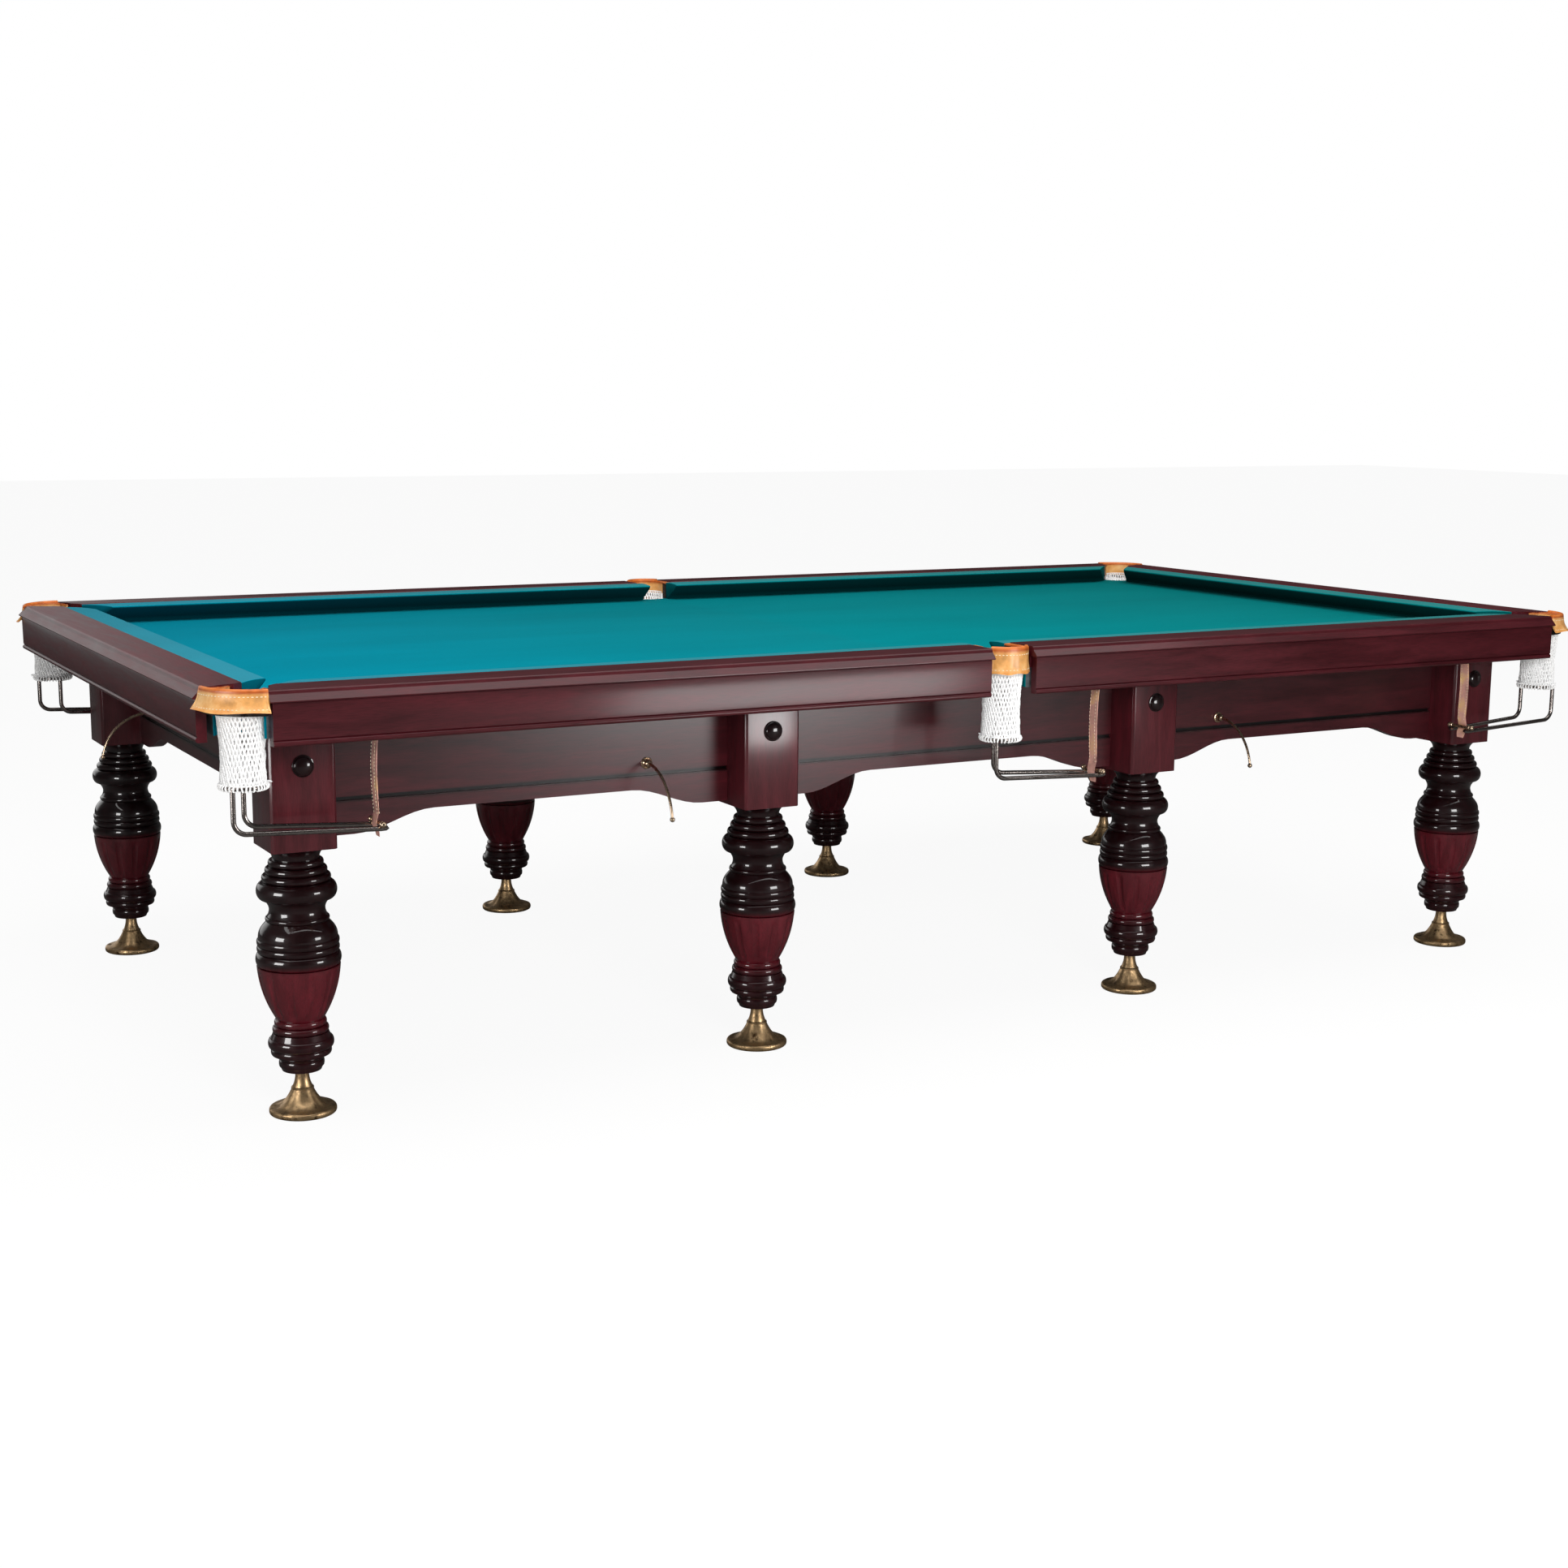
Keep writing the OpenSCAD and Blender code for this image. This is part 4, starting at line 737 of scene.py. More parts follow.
def leg_profile():
    """Radius and height in millimetres down a turned leg, from inside its block to its base."""
    z = LEVELS
    # The collar, the crown beads and the large ring under the block
    points = [(0, z["block"] + 2), (60, z["block"] + 2), (60, z["block"])]
    points += sweep(60, 46, z["block"], z["collar"], -4, 8)
    for k in range(CROWN):
        points += bead(46 + 20 * (k + 0.5) / CROWN, 5, z["collar"] - 15 * k, z["collar"] - 15 * (k + 1), 8)
    points += bead(66, 13, z["crown"], z["ring"], 14)
    # The cotton-reel neck and the bell with its beads
    points += sweep(64, 59, z["ring"], z["neck"], -6.5, 10)
    points += bead(59, 4, z["neck"], z["fillet"], 6)
    points += sweep(61, 78, z["fillet"], z["bell"], 5, 10)
    for k in range(BELL):
        points += bead(77.5, 3.5, z["bell"] - 14 * k, z["bell"] - 14 * (k + 1), 7)
    points += bead(76, 8, z["reeds"], z["shoulder"], 12)
    # The tulip and the waist
    points += tulip_points(24)
    for k in range(WAIST):
        points += bead(47 + 4 * k, 14 / 3, z["tulip"] - 14 * k, z["tulip"] - 14 * (k + 1), 7)
    # The bulb and the toe
    bulb_top, toe_foot = z["waist"] - 10.7, z["base"] + 7.3
    points += sweep(55, 59, z["waist"], bulb_top, 0, 2)
    points += bead(59, 6, bulb_top, z["bulb"], 12)
    points += bead(56, 4, z["bulb"], z["sub"], 7)
    points += sweep(54, 43, z["sub"], z["toe"], -2, 5)
    points += bead(43, 2, z["toe"], toe_foot, 5)
    return points + [(42, toe_foot), (39, z["base"]), (0, z["base"])]


def tulip_points(count):
    """Points of the arc that bounds the tulip, from its shoulder down to its waist."""
    top, foot = LEVELS["shoulder"], LEVELS["tulip"]
    r_top, r_foot, swell = 82.0, 47.0, 7.0
    run, rise = r_top - r_foot, top - foot
    chord = math.hypot(run, rise)
    r = (chord * chord / 4 + swell * swell) / (2 * swell)
    off = r - swell
    x, z = (r_top + r_foot) / 2 - off * rise / chord, (top + foot) / 2 + off * run / chord
    start, end = (math.degrees(math.atan2(high - z, wide - x))
                  for wide, high in ((r_top, top), (r_foot, foot)))
    return arc(x, z, r, start, end, count)


class BILLIARD_OT_legs(bpy.types.Operator):
    """Turn the eight legs with their blocks, beads and fluted tulips"""
    bl_idname = "billiard.legs"
    bl_label = "Legs"

    def execute(self, context):
        legs, s = context.scene.billiard_legs, context.scene.billiard_sizes
        bm = turned(in_metres(leg_profile()), legs.flutes * 16)
        self.cut_flutes(bm, legs)
        self.block(bm, legs.block_w, LEVELS["block"] / 1000, slate_foot(s))
        mesh = to_mesh(bm, "turned_leg", 32)
        woods = [finish("mahogany_z"), finish("mahogany_block")]
        for spot, i, at in leg_spots(legs):
            name = "leg_" + spot
            turn = Matrix.Translation(at) @ Matrix.Rotation(math.pi / 2 * i, 4, "Z")
            place(mirrored(mesh, turn, name), "turned_" + name, woods, "mahogany", [name])
        bpy.data.meshes.remove(mesh)
        return {"FINISHED"}

    @staticmethod
    def cut_flutes(bm, legs):
        """Presses round-ended flutes into the tulip, clear of its ends."""
        clear, half = 0.011, legs.flute_half
        top, foot = LEVELS["shoulder"] / 1000 - clear, LEVELS["tulip"] / 1000 + clear
        for v in bm.verts:
            r = math.hypot(v.co.x, v.co.y)
            if r < 0.02 or not foot < v.co.z < top:
                continue
            turn = math.atan2(v.co.y, v.co.x) * legs.flutes / math.tau
            across = abs(turn - round(turn)) * math.tau / legs.flutes * r
            if across >= half:
                continue
            end = min(1.0, min(top - v.co.z, v.co.z - foot) / half)
            depth = legs.flute_depth * math.sqrt(1 - (across / half) ** 2) * math.sqrt(1 - (1 - end) ** 2)
            v.co.x *= 1 - depth / r
            v.co.y *= 1 - depth / r

    @staticmethod
    def block(bm, width, foot, top):
        """Adds the square block, with chamfered corners and eased arrises, in the second finish."""
        chamfer = 0.005
        made = bmesh.ops.create_cube(bm, size=1.0)["verts"]
        bmesh.ops.scale(bm, vec=(width, width, top - foot), verts=made)
        bmesh.ops.translate(bm, vec=(0, 0, (top + foot) / 2), verts=made)
        edges = {e for v in made for e in v.link_edges}
        soften(bm, [e for e in edges if abs(e.verts[0].co.z - e.verts[1].co.z) > 0.01], chamfer, 1)
        face, seam = width / 2 - chamfer - 0.0005, foot - 0.001
        arrises = [e for e in sharp_edges(bm, 30)
                   if all(max(abs(v.co.x), abs(v.co.y)) > face and v.co.z > seam for v in e.verts)]
        soften(bm, arrises, 0.0009, 2)
        for f in bm.faces:
            f.material_index = int(f.calc_center_median().z > foot - 0.0005)


class BILLIARD_OT_feet(bpy.types.Operator):
    """Cast the eight brass levelling feet"""
    bl_idname = "billiard.feet"
    bl_label = "Levelling feet"

    def execute(self, context):
        legs = context.scene.billiard_legs
        r, count = legs.foot_r * 1000, 18
        # The plate, the bell, the knuckle and the screw, in millimetres
        profile = [(0, 0), (r - 7, 0), (r - 5, 0.6)] + arc(r - 5, 5, 5, -70, 0, 4) + arc(r - 6, 8, 6, 0, 75, 5)
        profile += [(r - 6 - (r - 28) * (i / count) ** 0.72, 14 + 36 * (i / count) ** 1.7)
                    for i in range(1, count + 1)]
        profile += [(22.6, 50.5), (22.6, 52.5), (21, 54.5)] + sweep(19.6, 13.5, 55, 82, -1.5, 8)
        profile += [(13.5, 197), (10.5, 200), (0, 200)]
        bm = turned(in_metres(profile), 96)
        self.cast_lobes(bm)
        mesh = to_mesh(bm, "cast_foot", 35)
        for spot, i, at in leg_spots(legs):
            name = "foot_" + spot
            turn = Matrix.Translation(at) @ Matrix.Rotation(0.4 * i + 0.2, 4, "Z")
            place(mirrored(mesh, turn, name), "cast_" + name, finish("foot_brass"), "antique_brass", [name],
                  "levelling_" + name)
        bpy.data.meshes.remove(mesh)
        return {"FINISHED"}

    @staticmethod
    def cast_lobes(bm):
        """Sinks the bell between the lobes that spread from its knuckle to its rim."""
        lobes, depth, foot, top = 8, 0.0021, 0.0125, 0.0505
        for v in bm.verts:
            if math.hypot(v.co.x, v.co.y) < 0.02 or not foot < v.co.z < top:
                continue
            t = (top - v.co.z) / (top - foot)
            between = 0.5 - 0.5 * math.cos(lobes * math.atan2(v.co.y, v.co.x))
            v.co.z -= depth * between ** 1.6 * math.sin(math.pi * min(1.0, t * 0.98)) ** 0.6


# Cloth

class BILLIARD_OT_cushions(bpy.types.Operator):
    """Cover the six cushions with cloth"""
    bl_idname = "billiard.cushions"
    bl_label = "Cushions"

    def execute(self, context):
        s = context.scene.billiard_sizes
        section, nose = self.section(s), s.bed_h + s.nose_h
        hl, hw = s.field_l / 2, s.field_w / 2
        # The corner jaws run at 45 degrees and the middle ones nearly square, so each bar starts out too long
        half, spare = s.corner_mouth / 2 * math.sqrt(2), 0.02
        side = bmesh.new()
        bar_of(side, [(hw + u, z) for u, z in section], "X", 0.0, hl + spare)
        cut_off(side, (hl - half, hw, nose), (1, -1, 0))
        cut_off(side, (s.middle_mouth / 2 + 0.0002, hw, nose), (-1, -3.2 / 65, 0))
        self.cover(side, CORNERS)
        far = bmesh.new()
        bar_of(far, [(hl + u, z) for u, z in section], "Y", -hw - spare, hw + spare)
        cut_off(far, (hl, hw - half, nose), (-1, 1, 0))
        cut_off(far, (hl, half - hw, nose), (-1, -1, 0))
        self.cover(far, (("left_end", -1, 1), ("right_end", 1, 1)))
        return {"FINISHED"}

    @staticmethod
    def section(s):
        """Section of a cushion: its seat, its undercut, its rounded nose and its top."""
        foot, nose, back = s.bed_h + 0.0002, s.bed_h + s.nose_h, s.cushion_w - 0.0002
        deep, rise = s.cushion_w - 0.0195, nose - 0.012 - foot
        under = [(0.0035 + deep * (1 - t) ** 1.12, foot + 0.006 + rise * t) for t in (0.2, 0.4, 0.6, 0.8)]
        top = [(0.014, nose + 0.0028), (0.032, nose + 0.0040), (0.05, nose + 0.0041), (back, nose + 0.0032)]
        seat = [(back, foot), (s.cushion_w - 0.014, foot), (s.cushion_w - 0.016, foot + 0.006)]
        return seat + under + arc(0.0034, nose - 0.0018, 0.0034, 235, 100, 9) + top

    @staticmethod
    def cover(bm, places):
        """Rounds the ends where the cloth turns the corner of a jaw, and sets the mirrored copies in place."""
        closed(bm)
        soften(bm, [e for e in sharp_edges(bm, 20) if any(
            abs(f.normal.z) < 0.02 and (abs(f.normal.x * f.normal.y) > 1e-4 or len(f.verts) > 8)
            for f in e.link_faces)], 0.0016)
        mesh = to_mesh(bm, "cushion", 50)
        for where, sx, sy in places:
            name = "cushion_" + where
            copy = mirrored(mesh, quarter_matrix(sx, sy), name)
            place(copy, "covered_" + name, finish("cushion_cloth"), "cloth", [name])
        bpy.data.meshes.remove(mesh)


def cloth_outline(s, grow):
    """Outline of the bed cloth in plan as six runs, each round a pocket, for notches wider by grow."""
    hx, hy = s.field_l / 2 + s.slate_reach, s.field_w / 2 + s.slate_reach
    r = s.notch_r + grow
    flank = r - 0.001
    reach = math.sqrt(r * r - flank * flank)
    # Round the back right notch from the end edge to the side edge, with its flanks at 45 degrees
    px, py = pocket_centre(s, 1, 1)
    x, y = (reach + flank) * math.sqrt(0.5), (reach - flank) * math.sqrt(0.5)
    start = math.degrees(math.atan2(y, x))
    notch = arc(px, py, r, start, 2 * 45 - start - 360, 40)
    last_x, last_y = notch[-1]
    corner = [(hx, py + y + hx - px - x)] + notch + [(last_x + hy - last_y, hy)]
    start = math.degrees(math.atan2(reach, flank))
    middle = [(flank, hy)] + arc(*pocket_centre(s, 0, 1), r, start, -180 - start, 32) + [(-flank, hy)]
    runs = ((corner, 1, 1), (middle, 1, 1), (corner, -1, 1), (corner, -1, -1), (middle, 1, -1),
            (corner, 1, -1))
    return [[(sx * x, sy * y) for x, y in run][::sx * sy] for run, sx, sy in runs]


class BILLIARD_OT_bed_cloth(bpy.types.Operator):
    """Stretch the cloth over the slate and turn it down into the pocket notches"""
    bl_idname = "billiard.bed_cloth"
    bl_label = "Bed cloth"
    # Widening of the notches at the top of the cloth, and at each drop below it as the cloth turns down
    WIDEST = 0.0018
    TURNS = ((0.0008, 0.0004), (0.0002, 0.0012), (0.0, 0.0028))

    def execute(self, context):
        s = context.scene.billiard_sizes
        bm = bmesh.new()
        rows, edges = [], []
        for run in cloth_outline(s, self.WIDEST):
            verts, fresh = line_of(bm, [(x, y, s.bed_h) for x, y in run])
            rows.append(verts)
            edges += fresh
        for a, b in zip(rows, rows[1:] + rows[:1]):
            bm.edges.new((a[-1], b[0]))
        bmesh.ops.triangle_fill(bm, use_beauty=True, use_dissolve=False, edges=bm.edges[:], normal=(0, 0, 1))
        area = sum(f.calc_area() for f in bm.faces) + self.turn_down(bm, edges, s)
        closed(bm)
        bm.normal_update()
        if max(bm.faces, key=lambda f: f.calc_area()).normal.z < 0:
            bmesh.ops.reverse_faces(bm, faces=bm.faces[:])
        mesh = to_mesh(bm, "bed_cloth", 60)
        piece = place(mesh, "stretched_bed_cloth", finish("cloth"), "cloth", ["bed_cloth"])
        thick = piece.modifiers.new("Thickness", "SOLIDIFY")
        thick.thickness = 0.0009
        thick.offset = -1.0
        return {"FINISHED"}

    def turn_down(self, bm, edges, s):
        """Draws the cloth down into the notches from their edges and returns the area that is turned down."""
        area = 0.0
        before = [p for run in cloth_outline(s, self.WIDEST) for p in run]
        for grow, drop in (*self.TURNS, (0.0, s.slate_t)):
            z = s.bed_h - drop
            after = [p for run in cloth_outline(s, grow) for p in run]
            made = bmesh.ops.extrude_edge_only(bm, edges=edges)["geom"]
            for v in of_kind(made, bmesh.types.BMVert):
                near = min(range(len(before)), key=lambda i: math.dist(before[i], v.co.xy))
                v.co = (*after[near], z)
            area += sum(f.calc_area() for f in of_kind(made, bmesh.types.BMFace))
            edges = [e for e in of_kind(made, bmesh.types.BMEdge)
                     if all(abs(v.co.z - z) < 1e-6 for v in e.verts)]
            before = after
        return area


# Pocket leathers

class BILLIARD_OT_leathers(bpy.types.Operator):
    """Stretch the six leathers over the pocket irons, with rolled rims and stitches"""
    bl_idname = "billiard.leathers"
    bl_label = "Pocket leathers"
    # Radius at the foot, radius at the rim and drop of each skirt
    CORNER = (0.1205, 0.103, 0.038)
    MIDDLE = (0.062, 0.057, 0.055)
    # Radius of the flat on top of each
    CORNER_FLAT, MIDDLE_FLAT = 0.0985, 0.0535
    WALL = 0.004

    def execute(self, context):
        s = context.scene.billiard_sizes
        top = leather_top(s)
        centre = (s.field_l / 2 + s.rail_out - s.corner_cut, s.field_w / 2 + s.rail_out - s.corner_cut)
        corner = bmesh.new()
        self.skirt(corner, centre, self.CORNER, top, 0.0, 90.0, 60, 3)
        self.lining(corner, pocket_centre(s, 1, 1), s.pocket_r, top, 225.0, 55.2, 44)
        self.cap(corner, self.corner_outline(s, centre), top)
        sewn = self.stitches(centre, self.CORNER, top, 3.0, 87.0)
        self.hang(corner, sewn, "corner_leather", CORNERS)
        centre = pocket_centre(s, 0, 1)
        half = math.degrees(math.asin((s.rail_gap / 2 - SEAT) / self.MIDDLE[0]))
        middle = bmesh.new()
        self.skirt(middle, centre, self.MIDDLE, top, 90 - half, 2 * half, 44, 5)
        self.lining(middle, centre, s.pocket_r, top, 270.0, 60.0, 40)
        self.cap(middle, self.middle_outline(s, centre[1]), top)
        sewn = self.stitches(centre, self.MIDDLE, top, 94 - half, 86 + half)
        self.hang(middle, sewn, "middle_leather", MIDDLES)
        return {"FINISHED"}

    @staticmethod
    def hang(bm, sewn, coat, pockets):
        """Sets mirrored copies of a leather and its stitches at each of those pockets."""
        skin = to_mesh(bm, coat, 42)
        # The front pockets come first
        for key, sx, sy in sorted(pockets, key=lambda pocket: pocket[2]):
            turn = quarter_matrix(sx or 1, sy)
            place(mirrored(skin, turn, key), "skin_" + key, finish(coat), "tan_leather", ["leather_" + key])
            place(mirrored(sewn, turn, key), "stitches_" + key, finish("thread"), "net_cord")
        for mesh in (skin, sewn):
            bpy.data.meshes.remove(mesh)

    @staticmethod
    def radius_at(t, size):
        """Radius of the skirt's outside from its rim, t = 0, to its flared foot, t = 1."""
        foot_r, rim_r = size[:2]
        return rim_r + (foot_r - rim_r) * (0.55 * t + 0.45 * t ** 4) - 0.0012 * math.sin(math.pi * t)

    def skirt(self, bm, centre, size, top, start, sweep_deg, steps, waves):
        """A skirt with its rolled rim and rolled ends, closed all round its section."""
        rim_r, drop = size[1:]
        roll, count = 0.005, 14
        out = [(self.radius_at(i / count, size), top - drop * i / count) for i in range(1, count + 1)]
        section = [(r - self.WALL, z) for r, z in out[:0:-1]] + [(rim_r - 2 * roll + 0.001, top - 0.004)]
        section += arc(rim_r - roll, top, roll, 200, -15, 14) + out
        section.append(section[0])
        c = Vector((*centre, 0))
        lone = part_turned(section, steps, start, sweep_deg, c)
        # The leather was stretched wet, so it draws in towards its foot and stands a little uneven
        drawn, uneven, wavy = 0.0009, 0.0009, 0.0014
        for v in lone.verts:
            flat = Vector((v.co.x - c.x, v.co.y - c.y, 0))
            a = (math.degrees(math.atan2(flat.y, flat.x)) - start) / sweep_deg
            t = max(0.0, min(1.0, (top - v.co.z) / drop))
            fade = math.sin(math.pi * max(0.0, min(1.0, a))) ** 0.5
            push = uneven * t * math.sin(waves * math.tau * a + 0.7) * fade
            v.co += flat.normalized() * (push - drawn * t)
            v.co.z += wavy * t ** 3 * math.sin(waves * math.pi * a + 0.4)
        absorb(bm, lone)
        # A strip is rolled round each upright end
        routes, strip = [], 0.0031
        for end, inward in ((start, 1), (start + sweep_deg, -1)):
            points = []
            for t in (i / 8 * 0.96 for i in range(9)):
                r = self.radius_at(t, size) - 0.0022 - drawn * t
                points.append(c + around(r, math.radians(end) + inward * strip / r, top + 0.001 - drop * t))
            routes.append((points, [0.0028] + [strip] * 7 + [0.0024], False))
        absorb(bm, tubes(routes, 10))

    def lining(self, bm, centre, r, top, towards, opening, steps):
        """The sleeve inside the pocket, open where the balls come in."""
        outer, foot, head = r + self.WALL, top - 0.034, top - 0.001
        section = [(outer, foot), (outer, head), (r, head), (r + 0.0006, foot), (outer, foot)]
        absorb(bm, part_turned(section, steps, towards + opening, 360 - 2 * opening, (*centre, 0)))

    def corner_outline(self, s, centre):
        """Plan of the flat on top of a corner pocket, whose jaws run on inwards to the leather's corner."""
        (cx, cy), (px, py) = centre, pocket_centre(s, 1, 1)
        opening = math.degrees(math.asin(min(1.0, s.corner_mouth / 2 / s.pocket_r)))
        inner = arc(px, py, s.pocket_r, 225 - opening, opening - 135, 36)
        first = (cx, inner[0][1] + cx - inner[0][0])
        last = (inner[-1][0] + cy - inner[-1][1], cy)
        return arc(cx, cy, self.CORNER_FLAT, 0, 90, 30) + [first] + inner + [last]

    def middle_outline(self, s, y):
        """Plan of the flat on top of a middle pocket, between the ends of the long rails."""
        arm, r, e = s.rail_gap / 2 - SEAT, self.MIDDLE_FLAT, s.middle_mouth / 2 - 0.003
        foot = s.field_w / 2 + s.cushion_w + SEAT
        side, opening = (math.degrees(math.acos(min(1.0, share))) for share in (arm / r, e / s.pocket_r))
        inner = arc(0, y, s.pocket_r, 180 + opening, -opening, 30)
        width = min(arm, r)
        ends = [(-width, foot), (-e, foot)] + inner + [(e, foot), (width, foot)]
        return arc(0, y, r, side, 180 - side, 30) + ends

    @staticmethod
    def cap(bm, outline, top):
        """A flat of leather with eased edges, from its outline in plan."""
        lone = bmesh.new()
        edges = ring_of(lone, [(x, y, top - 0.004) for x, y in outline])
        bmesh.ops.triangle_fill(lone, use_beauty=True, use_dissolve=False, edges=edges, normal=(0, 0, 1))
        made = bmesh.ops.extrude_face_region(lone, geom=lone.faces[:])["geom"]
        bmesh.ops.translate(lone, vec=(0, 0, 0.0042), verts=of_kind(made, bmesh.types.BMVert))
        closed(lone)
        soften(lone, [e for e in sharp_edges(lone, 60) if all(v.co.z > top - 0.001 for v in e.verts)], 0.0012)
        absorb(bm, lone)

    def stitches(self, centre, size, top, start, end):
        """Two rows of saddle stitches, 5 mm long and 8 mm apart, round the skirt."""
        places = []
        for t in (0.24, 0.84):
            r = self.radius_at(t, size) + 0.0001 - 0.0009 * t
            count = int(math.radians(end - start) * r / 0.0078)
            for i in range(count + 1):
                a = math.radians(start + (end - start) * i / count)
                at = Vector((*centre, 0)) + around(r, a, top - size[2] * t)
                places.append(Matrix.Translation(at) @ Matrix.Rotation(a, 4, "Z")
                              @ Matrix.Diagonal((0.0008, 0.0027, 0.0009, 1.0)))
        return pebbles("stitches", places)


# Nets, runners and straps

# Height of a mesh of a net
MESH_H = 0.0102
# Length of the rods past the cross bar, radius of their bend and half the distance between their far ends
BEYOND, BEND, SPREAD = 0.012, 0.026, 0.025
# Drop of the rods from the ring to the foot of their bend, and their fall from there on
RUN_DROP, RUN_FALL = 0.088, 0.013
# Radius of a cross bar
BAR_R = 0.004
UP = Vector((0, 0, 1))


class BILLIARD_OT_nets(bpy.types.Operator):
    """Knot the six nets from cotton cord"""
    bl_idname = "billiard.nets"
    bl_label = "Nets"

    def execute(self, context):
        s, n = context.scene.billiard_sizes, context.scene.billiard_nets
        top = leather_top(s) - NET_DROP
        for key, height, pockets in (("corner_nets", n.corner_h, CORNERS),
                                     ("middle_nets", n.middle_h, MIDDLES)):
            bm = bmesh.new()
            for k, (_, sx, sy) in enumerate(pockets):
                x, y = pocket_centre(s, sx, sy)
                mouth = math.atan2(-y, -x) if sx else math.copysign(math.pi / 2, -y)
                self.knit(bm, Vector((x, y, 0)), top, height, n, mouth, random.Random(31 * k + len(key)))
            place(to_mesh(bm, key, 70), "knotted_" + key, finish("net"), "net_cord", [key])
        return {"FINISHED"}

    @staticmethod
    def knit(bm, centre, top, height, n, mouth, chance):
        """One bag: two sets of crossing cords, a knot at each crossing, a head cord and loops on the ring."""
        rows, wide = int(height / MESH_H), math.tau / n.meshes

        def spot(turn, row, out=0.0):
            t, a = row / rows, turn * wide
            # The bag hangs in above the ring, and its head dips under the cloth where the balls come in
            r = n.head_r + (n.ring_r - n.head_r) * t - 0.0038 * math.sin(math.pi * t) ** 1.2 + out
            away = abs((a - mouth + math.pi) % math.tau - math.pi)
            low = n.dip * max(0.0, min(1.0, (1.12 - away) / 0.22))
            return centre + around(r, a, top - low - (height - low) * t)

        shift = {}
        for row in range(rows + 1):
            for k in range(n.meshes):
                free = 0.0 if row in (0, rows) else 1.0
                shift[(row, k)] = (free * chance.uniform(-0.12, 0.12), free * chance.uniform(-0.14, 0.14),
                                   chance.uniform(-0.0008, 0.0012))

        def knot(row, k):
            turn, drop, out = shift[(row, k % n.meshes)]
            return spot(k + 0.5 * (row % 2) + turn, row + drop, out)

        routes = []
        for first in range(n.meshes):
            for hand in SIDES:
                points, k = [], first
                for row in range(rows + 1):
                    points.append(knot(row, k))
                    k += row % 2 if hand > 0 else row % 2 - 1
                # One set of cords passes outside the other
                fine = []
                for a, b in zip(points, points[1:]):
                    lift = Vector((a.x - centre.x, a.y - centre.y, 0)).normalized() * n.cord_r * 0.45 * hand
                    fine += [a, a.lerp(b, 0.5) + lift]
                routes.append((fine + points[-1:], n.cord_r, False))
        for row, thick in ((0, 1.35), (rows, 1.25)):
            routes.append(([spot(i / 2, row) for i in range(n.meshes * 2)], n.cord_r * thick, True))
        ring = centre + UP * (top - height - n.wire_r - SEAT)
        reach = n.wire_r + n.cord_r
        for k in range(n.meshes):
            a = (k + 0.5 * (rows % 2) + chance.uniform(-0.1, 0.1)) * wide
            rise = UP + around(1.0, a + math.pi / 2) * chance.uniform(-0.25, 0.25)
            routes.append(([ring + around(n.ring_r + reach * math.cos(b), a) + rise * reach * math.sin(b)
                            for b in [math.tau * i / 9 for i in range(9)]], n.cord_r, True))
        # Cut ends of the tying cord stick out above the ring
        for _ in range(7):
            out = around(1.0, chance.uniform(0, math.tau))
            start = ring + out * (n.ring_r + 0.003) + UP * 0.006
            way = (out + UP * chance.uniform(-0.2, 0.9)).normalized()
            size = chance.uniform(0.006, 0.012)
            routes.append(([start, start + way * size * 0.5, start + way * size - UP * size * 0.25],
                           [n.cord_r, n.cord_r * 0.9, n.cord_r * 0.5], False))
        absorb(bm, tubes(routes, 6))
        size = n.cord_r * 1.5
        ball = Matrix.Diagonal((size, size, size * 1.2, 1.0))
        knots = pebbles("knots", [Matrix.Translation(knot(row, k)) @ ball
                                  for row in range(1, rows) for k in range(n.meshes)])
        bm.from_mesh(knots)
        bpy.data.meshes.remove(knots)


def runner_place(s, n, sx, sy):
    """Matrix that puts a runner, drawn with its ring at the origin, under its pocket."""
    x, y = pocket_centre(s, abs(sx), 1)
    at = Matrix.Translation((x, y, ring_height(s, n, sx)))
    return quarter_matrix(sx or 1, sy) @ at @ quarter_matrix(-1 if sx else 1, -1)


